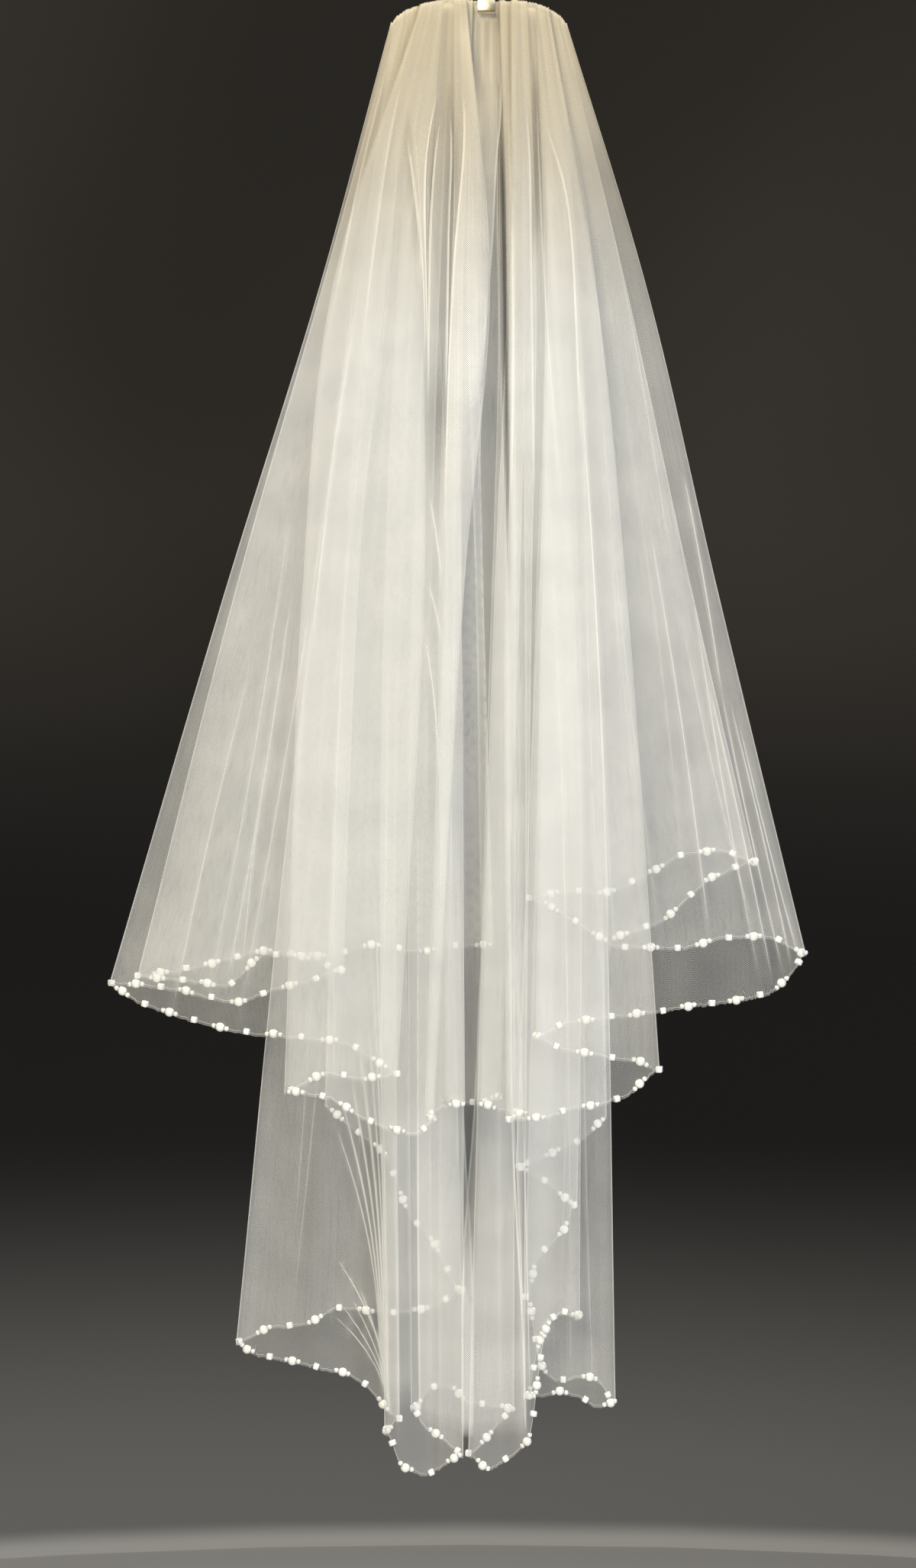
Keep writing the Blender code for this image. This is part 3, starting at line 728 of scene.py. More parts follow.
@dataclass
class TulleTier:
    """One tier: a single sheet of net, folded to and fro and gathered on the comb.

    Lengths are in mm. A cover is the share of the view that the net hides at a point.
    """

    name: str
    node: str
    table: tuple[Fold | Bend, ...]
    heights: tuple[float, float]
    creases: tuple[Crease, ...]
    laps: tuple[Lap, ...]
    partings: tuple[Parting, ...]
    flat_size: tuple[float, float]
    flat_area: float
    seed: int

    rings: int = 94
    ring_crowding: float = 1.12
    spacing: float = 3.3
    crease_spacing: float = 0.55
    least_strands: int = 4
    gather_strands: int = 3
    turn_steps: int = 8
    knot_reach: float = 0.035
    knot_margin: float = 0.02

    net_cover: float = 0.18
    most_cover: float = 0.95
    fold_cover: float = 0.55
    fold_sharpness: int = 8
    free_edge_share: float = 0.5
    gather_pitch: float = 3.4
    gather_share: float = 0.2
    gather_fade: float = 0.42
    gather_cover: float = 0.06
    gather_packing: float = 2.0
    packing_fade: float = 0.17
    # How far below the comb the calmer net and the painted shade reach, as a share of the fan's
    # length.
    gather_shade: float = 0.34

    crease_past_ends: float = 0.06
    crease_rise: float = 0.2
    crease_fall: float = 0.14
    crease_cover: float = 0.4
    crease_line: float = 1.9
    parting_above: float = 0.1
    parting_below: float = 0.15
    parting_rise: float = 0.3
    parting_fall: float = 0.4

    pinch_half: float = 0.5
    pinch_rise: float = 0.8
    pinch_lift: float = 0.12
    pinch_step: float = 7.0
    pinch_ends: float = 4.0
    pinch_foot: float = 0.5
    pinch_crests: int = 3
    pinch_start: tuple[float, float] = (12.0, 70.0)
    pinch_length: tuple[float, float] = (50.0, 150.0)
    pinch_longer: float = 320.0
    pinch_cover: tuple[float, float] = (0.05, 0.34)
    pinch_taper: float = 1.3
    hem_clearance: float = 20.0
    line_cover: float = 0.16
    line_gain: float = 2.1
    line_most: float = 0.75
    line_taper: float = 0.4
    line_points: int = 4

    margin: float = 1.6
    flutter: float = 0.7
    flutter_length: float = 13.0
    flutter_height: float = 60.0
    ragged: float = 0.6
    ragged_height: float = 6.0
    top_ragged: tuple[float, float] = (-0.5, 0.7)
    top_cover: float = 0.35
    top_band: float = 2.5

    lap_step: float = 12.0
    lap_gap: float = 0.7
    lap_bulge: float = 1.1
    lap_full_width: float = 12.0
    lap_rim: float = 0.8
    lap_rim_share: float = 0.18
    lap_passes: int = 3
    lap_least_rows: int = 3

    strands: list[Strand] = field(default_factory=list)
    pinches: list[Pinch] = field(default_factory=list)

    def heights_down(self, z_top: float, z_hem: float) -> Array:
        """The heights of one strand's points, closer together near the comb."""
        share = (np.arange(self.rings) / (self.rings - 1)) ** self.ring_crowding
        return mix(z_top, z_hem, share)

    def plain_cover(self, z: Array) -> Array:
        """How much of the view one layer of net hides, more where it is packed at the comb."""
        packing = 1.0 + self.gather_packing * (1.0 - smooth_step(FAN.drop(z) / self.packing_fade))
        return 1.0 - (1.0 - self.net_cover) ** packing

    def gathers(self, start: FoldLine, end: FoldLine) -> int:
        """How many gathers the panel between two folds has."""
        return max(round(abs(end.fold.x_top - start.fold.x_top) / self.gather_pitch), 1)

    def soft_between(self, knots: Sequence[float], values: Sequence[float], share: float) -> float:
        """The value at a share of the way along a panel, with a soft turn at each knot.

        Args:
            knots: Where along the panel the values are given.
            values: The values.
            share: The share of the way.

        Returns:
            The value there.
        """
        low = float(np.interp(share - self.knot_reach, knots, values))
        high = float(np.interp(share + self.knot_reach, knots, values))
        return (low + 2 * float(np.interp(share, knots, values)) + high) / 4

    def panel_strands(self, start: FoldLine, end: FoldLine, bends: list[Bend]) -> list[Strand]:
        """The strands inside the panel between two folds.

        Args:
            start: The fold that the panel leaves.
            end: The fold that it runs to.
            bends: The panel's soft turns.

        Returns:
            The strands in order, with their gathers, bends and creases.
        """
        hem_z = np.array([start.fold.z_hem, end.fold.z_hem])
        start_hem = float(start.shoulder(hem_z[:1], end)[0])
        width = float(end.shoulder(hem_z[1:], start)[0]) - start_hem
        inner = [((bend.x_hem - start_hem) / width, bend) for bend in bends]
        low, high = self.knot_margin, 1.0 - self.knot_margin
        inner = [(share, bend) for share, bend in inner if low < share < high]
        knots = [0.0, *(share for share, _ in inner), 1.0]
        hems = [start.fold.z_hem, *(bend.z_hem for _, bend in inner), end.fold.z_hem]
        bows = [0.0, *(bend.bow for _, bend in inner), 0.0]
        creases = [crease for crease in self.creases if crease.panel == start.fold.name]
        finest = [crease.width * self.crease_spacing for crease in creases]
        spacing = min([self.spacing, *finest])
        gathers = self.gathers(start, end)
        count = max(round(abs(width) / spacing), self.gather_strands * gathers, self.least_strands)
        strands = []
        for index in range(count):
            share = (index + 1) / (count + 1)
            z_hem = self.soft_between(knots, hems, share)
            top_x = mix(start.fold.x_top, end.fold.x_top, share)
            z = self.heights_down(float(FAN.top_edge(top_x)), z_hem)
            x = mix(start.shoulder(z, end), end.shoulder(z, start), share)
            edge = min(share, 1.0 - share) * (gathers + 1)
            wave = math.cos(math.pi * share * (gathers + 1)) * min(edge, 1.0)
            fade = np.maximum(1.0 - FAN.drop(z) / self.gather_fade, 0.0)
            swell = wave * self.gather_share * FAN.pitch(z) * fade
            swell += self.soft_between(knots, bows, share) * FAN.drop(z)
            cover = self.plain_cover(z) + self.gather_cover * max(wave, 0.0) * fade
            for crease in creases:
                swell_by, cover_by = self.crease_effect(crease, x, z)
                swell += swell_by
                cover += cover_by
            strands.append(Strand(x, FAN.depth(start.fold.layer, x, z) + swell, z, cover))
        return strands

    def crease_effect(self, crease: Crease, x: Array, z: Array) -> tuple[Array, Array]:
        """What one crease does to a strand.

        Args:
            crease: The crease.
            x: The strand's places across the veil.
            z: Its heights.

        Returns:
            How far the strand moves back at each point, and the cover that it gains.
        """
        down = (crease.z_start - z) / (crease.z_start - crease.z_end)
        inside = np.clip(down, 0.0, 1.0)
        middle = mix(crease.x_start, crease.x_end, inside)
        middle += crease.slack * np.sin(math.pi * inside)
        rise = smooth_step((down + self.crease_past_ends) / self.crease_rise)
        fade = rise * smooth_step((1.0 + self.crease_past_ends - down) / self.crease_fall)
        away = (x - middle) / crease.width
        room = FAN.pitch(z) / FAN.pitch_low
        swell = crease.depth * room * fade * np.exp(-(away**2))
        bright = np.exp(-((self.crease_line * away) ** 2))
        return swell, self.crease_cover * crease.sheen * fade * bright

    def turn_strands(self, line: FoldLine) -> list[Strand]:
        """The strands of a round turn, or the one strand of a free edge.

        Args:
            line: The fold.

        Returns:
            The strands in order, from the panel before it to the one after it.
        """
        fold = line.fold
        z = self.heights_down(float(FAN.top_edge(fold.x_top)), fold.z_hem)
        if line.before is None or line.after is None:
            x = line.x(z)
            cover = self.plain_cover(z) + self.free_edge_share * self.fold_cover
            return [Strand(x, FAN.depth(fold.layer, x, z), z, cover)]
        first = line.before.fold.layer
        strands = []
        for step in range(self.turn_steps + 1):
            angle = math.pi * step / self.turn_steps
            toward = line.before if angle < math.pi / 2 else line.after
            x = mix(line.shoulder(z, toward), line.x(z), math.sin(angle))
            layer = mix(first, fold.layer, (1 - math.cos(angle)) / 2)
            bright = math.sin(angle) ** self.fold_sharpness
            cover = self.plain_cover(z) + self.fold_cover * bright
            strands.append(Strand(x, FAN.depth(layer, x, z), z, cover))
        return strands

    def lay_strands(self) -> None:
        """Lays all the strands from the left free edge to the right one."""
        lines = [FoldLine(row, self.heights) for row in self.table if isinstance(row, Fold)]
        bends: list[list[Bend]] = []
        for row in self.table:
            if isinstance(row, Fold):
                bends.append([])
            else:
                bends[-1].append(row)
        for before, after in zip(lines, lines[1:]):
            before.after = after
            after.before = before
        self.strands = self.turn_strands(lines[0])
        for panel, (before, after, between) in enumerate(zip(lines, lines[1:], bends)):
            laid = self.panel_strands(before, after, between)
            self.pinches += self.gather_pinches(before, after, laid)
            self.pinches += [
                self.crease_pinch(crease, laid)
                for crease in self.creases
                if crease.panel == before.fold.name and crease.depth != 0.0
            ]
            turned = self.turn_strands(after)
            half = len(turned) // 2
            for strand in laid + turned[:half]:
                strand.panel = panel
            for strand in turned[half:]:
                strand.panel = panel + 1
            self.strands += laid + turned
        self.strands[-1].panel -= 1
        self.part_gathers()
        self.finish_hem()

    def part_gathers(self) -> None:
        """Thins the net where the gathers part, softly at the line's two ends."""
        for parting in self.partings:
            line = np.array(parting.line, float)
            top, low = line[0, 1], line[-1, 1]
            for strand in self.strands:
                down = (top - strand.z) / (top - low)
                rise = smooth_step((down + self.parting_above) / self.parting_rise)
                fall = smooth_step((1.0 + self.parting_below - down) / self.parting_fall)
                middle = at_height(strand.z, line[:, 1], line[:, 0])
                away = (strand.x - middle) / parting.half
                lost = parting.loss * (rise * fall) * np.exp(-(away**2))
                strand.cover = strand.cover * (1.0 - lost)

    def gather_pinches(
        self, start: FoldLine, end: FoldLine, laid: list[Strand]
    ) -> list[Pinch]:
        """The fine pleats that run down from the comb along the crests of a panel's gathers.

        Args:
            start: The fold that the panel leaves.
            end: The fold that it runs to.
            laid: The panel's strands.

        Returns:
            The pleats, of uneven lengths.
        """
        chance = random.Random(f"{self.seed} {start.fold.name}")
        gathers = self.gathers(start, end)
        made = []
        for crest in range(1, gathers + 1, self.pinch_crests):
            strand = laid[round(crest / (gathers + 1) * (len(laid) - 1))]
            first = chance.uniform(*self.pinch_start)
            reach = chance.uniform(*self.pinch_length)
            reach += self.pinch_longer * max(chance.uniform(-1.0, 1.0), 0.0) ** 2
            levels = strand.z[0] - np.arange(first, first + reach, self.pinch_step)
            levels = levels[levels > strand.z[-1] + self.hem_clearance]
            across = at_height(levels, strand.z, strand.x)
            behind = at_height(levels, strand.z, strand.y)
            share = np.linspace(0.0, 1.0, len(levels))
            cover = chance.uniform(*self.pinch_cover) * np.sin(math.pi * share) ** self.pinch_taper
            made.append(Pinch(np.stack([across, behind, levels], axis=1), cover))
        return made

    def crease_pinch(self, crease: Crease, laid: list[Strand]) -> Pinch:
        """The fine line of a crease on the panel's surface.

        Args:
            crease: The crease.
            laid: The strands of its panel.

        Returns:
            The line as a pinched fold, stronger where the crease has more sheen.
        """
        count = max(int((crease.z_start - crease.z_end) / self.pinch_step), self.line_points)
        share = np.linspace(0.0, 1.0, count)
        z = mix(crease.z_start, crease.z_end, share)
        x = mix(crease.x_start, crease.x_end, share) + crease.slack * np.sin(math.pi * share)
        across = np.stack([at_height(z, strand.z, strand.x) for strand in laid])
        behind = np.stack([at_height(z, strand.z, strand.y) for strand in laid])
        if across[0, -1] > across[-1, -1]:
            across, behind = across[::-1], behind[::-1]
        y = [np.interp(x[k], across[:, k], behind[:, k]) for k in range(count)]
        strength = min(self.line_cover + self.line_gain * crease.sheen, self.line_most)
        cover = strength * np.sin(math.pi * share) ** self.line_taper
        return Pinch(np.stack([x, np.array(y), z], axis=1), cover)

    def finish_hem(self) -> None:
        """Lets the hem flutter softly and leaves both cut edges a little ragged."""
        chance = random.Random(self.seed)
        for strand, place in zip(self.strands, self.hem_lengths()):
            above = strand.z - strand.z[-1]
            near_hem = smooth_step(1.0 - above / self.flutter_height)
            strand.y = strand.y + self.flutter * near_hem * math.sin(place / self.flutter_length)
            edge = smooth_step(1.0 - above / self.ragged_height)
            strand.z = strand.z + chance.uniform(-self.ragged, self.ragged) * edge
            band = np.exp((strand.z - strand.z[0]) / self.top_band)
            strand.cover = strand.cover + self.top_cover * band
            strand.z[0] += chance.uniform(*self.top_ragged)

    def hem_lengths(self) -> Array:
        """How far along the hem each strand ends, from the left free edge."""
        return run_lengths(np.array([(s.x[-1], s.y[-1], s.z[-1]) for s in self.strands]))

    def hem_line(self) -> Array:
        """The line of stitching of the hem, just above the cut edge, in mm.

        Returns:
            A point for each strand.
        """
        points = []
        for strand in self.strands:
            z = strand.z[-1] + self.margin
            x = float(at_height(z, strand.z, strand.x))
            y = float(at_height(z, strand.z, strand.y))
            points.append((x, y, z))
        return np.array(points)

    def grain(self, sheet: Array) -> Array:
        """The cloth's own flat coordinates, true to size from the middle of each panel.

        Args:
            sheet: The points of all strands, in mm.

        Returns:
            The coordinates of each face's four corners, in mm.
        """
        steps = np.linalg.norm(np.diff(sheet, axis=0), axis=2)
        along = np.concatenate([np.zeros((1, self.rings)), np.cumsum(steps, axis=0)])
        panel = np.array([strand.panel for strand in self.strands])
        middle = {one: int(np.flatnonzero(panel == one).mean()) for one in set(panel.tolist())}
        centre = along[[middle[one] for one in panel[:-1].tolist()]]
        left = along[:-1] - centre + centre[:, -1:]
        right = along[1:] - centre + centre[:, -1:]
        down = sheet[:, :1, 2] - sheet[:, :, 2]
        corners = (
            (left[:, :-1], down[:-1, :-1]),
            (left[:, 1:], down[:-1, 1:]),
            (right[:, 1:], down[1:, 1:]),
            (right[:, :-1], down[1:, :-1]),
        )
        return np.stack([np.stack(corner, axis=-1) for corner in corners], axis=2)

    def outer_depth(self, sheet: Array, x: Array, z: float, side: Side) -> Array:
        """The y of the outermost layer at some places of one height.

        Args:
            sheet: The points of all strands, in mm.
            x: The places across the veil.
            z: The height.
            side: The side of the veil that is looked at.

        Returns:
            The y of the layer that is seen there, or nan beside the cloth.
        """
        across = np.array([at_height(z, strand[:, 2], strand[:, 0]) for strand in sheet])
        behind = np.array([at_height(z, strand[:, 2], strand[:, 1]) for strand in sheet])
        live = np.array([strand[-1, 2] < z for strand in sheet])
        inward = -side.value
        start, end = across[:-1, None], across[1:, None]
        share = (x[None, :] - start) / np.where(end == start, 1.0, end - start)
        there = (share >= 0.0) & (share <= 1.0) & (live[:-1] & live[1:])[:, None]
        y = behind[:-1, None] + (behind[1:] - behind[:-1])[:, None] * share
        found = np.where(there, inward * y, np.inf).min(axis=0)
        return inward * np.where(np.isinf(found), np.nan, found)

    def lap_edge(self, edge: Trace, share: Array) -> Array:
        """One folded edge of a lap: its (x, z) at each share of the way down.

        Args:
            edge: The edge's row of the table.
            share: Shares of the way down.

        Returns:
            The points (x, z) in mm.
        """
        line = np.array(edge, float)
        z = mix(line[0, 1], line[-1, 1], share)
        x = softened(at_height(z, line[:, 1], line[:, 0]), self.lap_passes)
        return np.stack([x, z], axis=1)

    def lap_over(self, lap: Lap, sheet: Array) -> tuple[Array, Array, Array]:
        """A pleat that laps over the outside of the tier, with two bright folded edges.

        Args:
            lap: The pleat.
            sheet: The points of all strands, in mm.

        Returns:
            The points, the faces between them, and each point's cover.
        """
        out = lap.side.value
        length = max(edge[0][1] - edge[-1][1] for edge in (lap.left, lap.right))
        share = np.linspace(0.0, 1.0, int(length / self.lap_step) + self.lap_least_rows)
        lines = []
        for left, right in zip(self.lap_edge(lap.left, share), self.lap_edge(lap.right, share)):
            width = abs(right[0] - left[0])
            rim = min(self.lap_rim / max(width, 1.0), self.lap_rim_share)
            rows = np.array([0.0, rim, 2 * rim, 0.4, 0.6, 1 - 2 * rim, 1 - rim, 1.0])
            x, z = mix(left[0], right[0], rows), mix(left[1], right[1], rows)
            y = self.outer_depth(sheet, x, float(z.mean()), lap.side)
            y = np.interp(x, x[~np.isnan(y)], y[~np.isnan(y)])
            y = out * np.maximum(out * y, out * mix(y[0], y[-1], rows))
            bulge = self.lap_bulge * min(1.0, width / self.lap_full_width)
            rise = self.lap_gap + bulge * np.sqrt(4 * rows * (1 - rows))
            lines.append(np.stack([x, y + out * rise, z], axis=1))
        points = np.stack(lines)
        points[:, :, 1] = softened(points[:, :, 1], self.lap_passes)
        columns = points.shape[1]
        crisp = np.full(columns, lap.cover)
        crisp[[0, 1, -2, -1]] = lap.edge
        fade = smooth_step(share / lap.fade_in) * smooth_step((1 - share) / lap.fade_out)
        corners = [0, 3, 2, 1] if lap.side is Side.FRONT else [1, 2, 3, 0]
        faces = grid_faces(len(share), columns)[:, corners]
        return points.reshape(-1, 3), faces, (fade[:, None] * crisp[None, :]).ravel()

    def ridge(self, pinch: Pinch) -> tuple[Array, Array, Array]:
        """The three lines of points of a pinched fold: its two feet and its crest.

        Args:
            pinch: The pinched fold.

        Returns:
            The points, the faces between them, and each point's cover.
        """
        count = len(pinch.line)
        ends = np.minimum(1.0, self.pinch_ends * np.sin(np.linspace(0.0, math.pi, count)))
        foot = np.zeros((count, 3))
        foot[:, 0] = self.pinch_half * ends
        crest = np.zeros((count, 3))
        crest[:, 1] = -self.pinch_rise * ends
        lift = np.array([0.0, -self.pinch_lift, 0.0])
        points = np.stack([pinch.line - foot, pinch.line + crest, pinch.line + foot]) + lift
        low = self.pinch_foot * pinch.strength
        cover = np.concatenate([low, pinch.strength, low])
        return points.reshape(-1, 3), grid_faces(3, count), cover

    def build(self, finish: TulleFinish) -> bpy.types.Object:
        """Makes the sheet from the strands.

        Args:
            finish: The net's finish.

        Returns:
            The tier's object.
        """
        self.lay_strands()
        sheet = np.stack([np.stack([s.x, s.y, s.z], axis=1) for s in self.strands])
        points = [sheet.reshape(-1, 3)]
        faces = [grid_faces(len(self.strands), self.rings)]
        flats = [self.grain(sheet).reshape(-1, 2)]
        covers = [np.concatenate([s.cover for s in self.strands])]
        raised = [self.ridge(pinch) for pinch in self.pinches]
        raised += [self.lap_over(lap, sheet) for lap in self.laps]
        for pleat, pleat_faces, cover in raised:
            faces.append(pleat_faces + sum(len(part) for part in points))
            flats.append(pleat[pleat_faces.reshape(-1)][:, [0, 2]])
            points.append(pleat)
            covers.append(cover)
        mesh = plain_mesh(self.name, np.concatenate(points) * MM, np.concatenate(faces).tolist())
        net = mesh.uv_layers.new(name="net")
        net.data.foreach_set("uv", (np.concatenate(flats) * MM).ravel())
        drop = FAN.drop(np.concatenate(points)[:, 2])
        for label, values in (
            ("cover", np.clip(np.concatenate(covers), 0.0, self.most_cover)),
            # 1 at the comb, fading below it: it calms the net's contrast and blends in painted
            #                                 shade.
            ("gather", 1.0 - smooth_step(drop / self.gather_shade)),
        ):
            mesh.attributes.new(label, "FLOAT", "POINT").data.foreach_set("value", values)
        mesh.shade_smooth()
        mesh.materials.append(finish.material())
        piece = add_piece(self.name, mesh)
        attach(piece, ROOT)
        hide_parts(self.node)
        LOG.info("%s: %d strands of %d points", self.name, len(self.strands), self.rings)
        return piece


Colour = tuple[float, float, float]
SOFT_PATCHES = (0.3, 0.7)


class Tree:
    """Adds nodes to a shader tree and joins them."""

    def __init__(self, tree: bpy.types.NodeTree) -> None:
        """Keeps the tree that the nodes go into."""
        self.tree = tree

    def node(self, kind: str, **settings: object) -> bpy.types.Node:
        """Adds a node of a kind with its settings.

        Args:
            kind: Blender's name for the kind.
            settings: Its settings.

        Returns:
            The node.
        """
        made = self.tree.nodes.new(kind)
        for name, value in settings.items():
            setattr(made, name, value)
        return made

    def put(self, target: bpy.types.NodeSocket, value: object) -> None:
        """Feeds an input with another socket or with a plain value.

        Args:
            target: The input.
            value: A socket or a plain value.
        """
        if isinstance(value, bpy.types.NodeSocket):
            self.tree.links.new(value, target)
        else:
            target.default_value = value

    def fill(self, node: bpy.types.Node, values: dict[str, object]) -> None:
        """Feeds a node's inputs, each by its name."""
        for label, value in values.items():
            self.put(node.inputs[label], value)

    def sum(self, operation: str, *values: object) -> bpy.types.NodeSocket:
        """The result of a Math node on the values.

        Args:
            operation: The node's operation.
            values: Sockets or numbers, in order.

        Returns:
            The result's socket.
        """
        made = self.node("ShaderNodeMath", operation=operation)
        for target, value in zip(made.inputs, values):
            self.put(target, value)
        return made.outputs[0]

    def spread(
        self, value: bpy.types.NodeSocket, low: object, high: object, start: object, end: object
    ) -> bpy.types.NodeSocket:
        """Moves a value from the range start to end into the range low to high, softly.

        Args:
            value: The value.
            low: What the start becomes.
            high: What the end becomes.
            start: The range's start.
            end: The range's end.

        Returns:
            The result's socket.
        """
        made = self.node("ShaderNodeMapRange", interpolation_type="SMOOTHSTEP")
        for target, item in zip(made.inputs, (value, start, end, low, high)):
            self.put(target, item)
        return made.outputs["Result"]

    def blend(self, share: object, first: object, second: object) -> bpy.types.NodeSocket:
        """A colour between two colours or sockets, by a share.

        Args:
            share: 0 for the first and 1 for the second.
            first: A colour or a socket.
            second: A colour or a socket.

        Returns:
            The colour's socket.
        """
        made = self.node("ShaderNodeMix", data_type="RGBA")
        sockets = {socket.identifier: socket for socket in made.inputs}
        self.put(sockets["Factor_Float"], share)
        for name, colour in (("A_Color", first), ("B_Color", second)):
            plain = isinstance(colour, tuple)
            self.put(sockets[name], (*colour, 1.0) if plain else colour)
        return next(out for out in made.outputs if out.identifier == "Result_Color")


def node_group(name: str, inputs: dict[str, float], output: str) -> tuple[Tree, bpy.types.Node]:
    """A new shader node group with number inputs and one number output.

    Args:
        name: The group's name.
        inputs: Each input's name and usual value.
        output: The output's name.

    Returns:
        The tree to fill, and its input node.
    """
    group = bpy.data.node_groups.new(name, "ShaderNodeTree")
    for label, value in inputs.items():
        made = group.interface.new_socket(label, in_out="INPUT", socket_type="NodeSocketFloat")
        made.default_value = value
    group.interface.new_socket(output, in_out="OUTPUT", socket_type="NodeSocketFloat")
    tree = Tree(group)
    return tree, tree.node("NodeGroupInput")


def net_threads() -> bpy.types.NodeTree:
    """The group for a diamond net: 1 on a thread and 0 in a hole, along the cloth's own grain.

    Returns:
        The group, which is made once.
    """
    name = "net_threads"
    if name in bpy.data.node_groups:
        return bpy.data.node_groups[name]
    tree, given = node_group(name, {"Cell": 1.0, "Slant": 1.5, "Thread": 0.2}, "Threads")
    place = tree.node("ShaderNodeUVMap", uv_map="net")
    parts = tree.node("ShaderNodeSeparateXYZ")
    tree.put(parts.inputs[0], place.outputs[0])
    across = tree.sum("DIVIDE", parts.outputs["X"], given.outputs["Cell"])
    tall = tree.sum("MULTIPLY", given.outputs["Cell"], given.outputs["Slant"])
    down = tree.sum("DIVIDE", parts.outputs["Y"], tall)
    families = []
    for operation in ("ADD", "SUBTRACT"):
        away = tree.sum("PINGPONG", tree.sum(operation, across, down), 0.5)
        families.append(tree.spread(away, 1.0, 0.0, 0.0, given.outputs["Thread"]))
    threads = tree.sum("MAXIMUM", *families)
    tree.put(tree.node("NodeGroupOutput").inputs["Threads"], threads)
    return tree.tree


def soft_mottle() -> bpy.types.NodeTree:
    """The group for soft patches: a value that drifts between Low and High over the piece.

    Returns:
        The group, which is made once.
    """
    name = "soft_mottle"
    if name in bpy.data.node_groups:
        return bpy.data.node_groups[name]
    tree, given = node_group(name, {"Scale": 60.0, "Low": 0.0, "High": 1.0}, "Value")
    place = tree.node("ShaderNodeTexCoord")
    noise = tree.node("ShaderNodeTexNoise")
    source, scale = place.outputs["Object"], given.outputs["Scale"]
    tree.fill(noise, {"Vector": source, "Scale": scale, "Detail": 1.5})
    low, high = given.outputs["Low"], given.outputs["High"]
    value = tree.spread(noise.outputs[0], low, high, *SOFT_PATCHES)
    tree.put(tree.node("NodeGroupOutput").inputs["Value"], value)
    return tree.tree


class Finish:
    """What the finishes share: a new material with its Principled shader."""

    name: str

    def start(self) -> tuple[bpy.types.Material, Tree, bpy.types.Node]:
        """A material with an empty Principled shader.

        Returns:
            The material, its tree and its shader.
        """
        material = bpy.data.materials.new(self.name)
        material.use_nodes = True
        return material, Tree(material.node_tree), material.node_tree.nodes["Principled BSDF"]

    @staticmethod
    def mottle(tree: Tree, scale: float, low: float, high: float) -> bpy.types.NodeSocket:
        """Places the soft patches with their own values.

        Args:
            tree: The material's tree.
            scale: How fine the patches are.
            low: The lowest value.
            high: The highest value.

        Returns:
            The value's socket.
        """
        patches = tree.node("ShaderNodeGroup", node_tree=soft_mottle())
        tree.fill(patches, {"Scale": scale, "Low": low, "High": high})
        return patches.outputs[0]


@dataclass(frozen=True)
class TulleFinish(Finish):
    """Soft sheer net: fine threads with holes between, denser where it is gathered or folded, and
    darker and warmer near the comb with painted shade.
    """

    name: str = "ivory_tulle"
    light: Colour = (0.95, 0.94, 0.885)
    shade: Colour = (0.89, 0.885, 0.84)
    # The darker, warmer tone near the comb: partly the packed net's own deeper tone, partly
    # painted shade over the top of the veil.
    gathered: Colour = (0.68, 0.60, 0.44)
    cell: float = 0.00115
    slant: float = 1.15
    thread: float = 0.2
    contrast: float = 0.6
    mean_threads: float = 0.36
    gather_calm: float = 0.75
    patch_scale: float = 34.0
    patch_cover: float = 0.07
    least_patch: float = 0.965
    roughness: float = 0.75

    def material(self) -> bpy.types.Material:
        """The net's material.

        Returns:
            The material.
        """
        material, tree, shader = self.start()
        net = tree.node("ShaderNodeGroup", node_tree=net_threads())
        tree.fill(net, {"Cell": self.cell, "Slant": self.slant, "Thread": self.thread})
        cover = tree.node("ShaderNodeAttribute", attribute_name="cover").outputs["Fac"]
        gather = tree.node("ShaderNodeAttribute", attribute_name="gather").outputs["Fac"]
        drift = self.mottle(tree, self.patch_scale, 0.0, 1.0)
        swing = tree.sum("SUBTRACT", net.outputs[0], self.mean_threads)
        sharp = self.contrast / self.mean_threads
        contrast = tree.sum("MULTIPLY_ADD", gather, -self.gather_calm * sharp, sharp)
        threads = tree.sum("MULTIPLY_ADD", swing, contrast, 1.0)
        uneven = tree.sum("MULTIPLY_ADD", drift, self.patch_cover, self.least_patch)
        alpha = tree.sum("MULTIPLY", tree.sum("MULTIPLY", cover, threads), uneven)
        body = tree.blend(drift, self.shade, self.light)
        # Near the comb the base colour turns to the gathered tone, which paints shade over the
        # top.
        tree.fill(
            shader,
            {
                "Alpha": tree.sum("MINIMUM", alpha, 1.0),
                "Base Color": tree.blend(gather, body, self.gathered),
                "Roughness": self.roughness,
                "Specular IOR Level": 0.0,
            },
        )
        return material


@dataclass(frozen=True)
class BeadFinish(Finish):
    """A glossy bead, with a lustre that varies softly from bead to bead."""

    name: str
    light: Colour
    shade: Colour
    roughness: float
    rough_end: float
    coat: float
    scatter: float = 0.0
    scatter_reach: Colour = (0.002, 0.0018, 0.0015)
    coat_roughness: float = 0.06
    lustre_scale: float = 55.0
    polish_scale: float = 500.0

    def material(self) -> bpy.types.Material:
        """The bead's material.

        Returns:
            The material.
        """
        material, tree, shader = self.start()
        drift = self.mottle(tree, self.lustre_scale, 0.0, 1.0)
        tree.fill(
            shader,
            {
                "Base Color": tree.blend(drift, self.shade, self.light),
                "Roughness": self.mottle(tree, self.polish_scale, self.roughness, self.rough_end),
                "Coat Weight": self.coat,
                "Coat Roughness": self.coat_roughness,
                "Subsurface Weight": self.scatter,
                "Subsurface Radius": self.scatter_reach,
                "Subsurface Scale": 1.0,
            },
        )
        return material


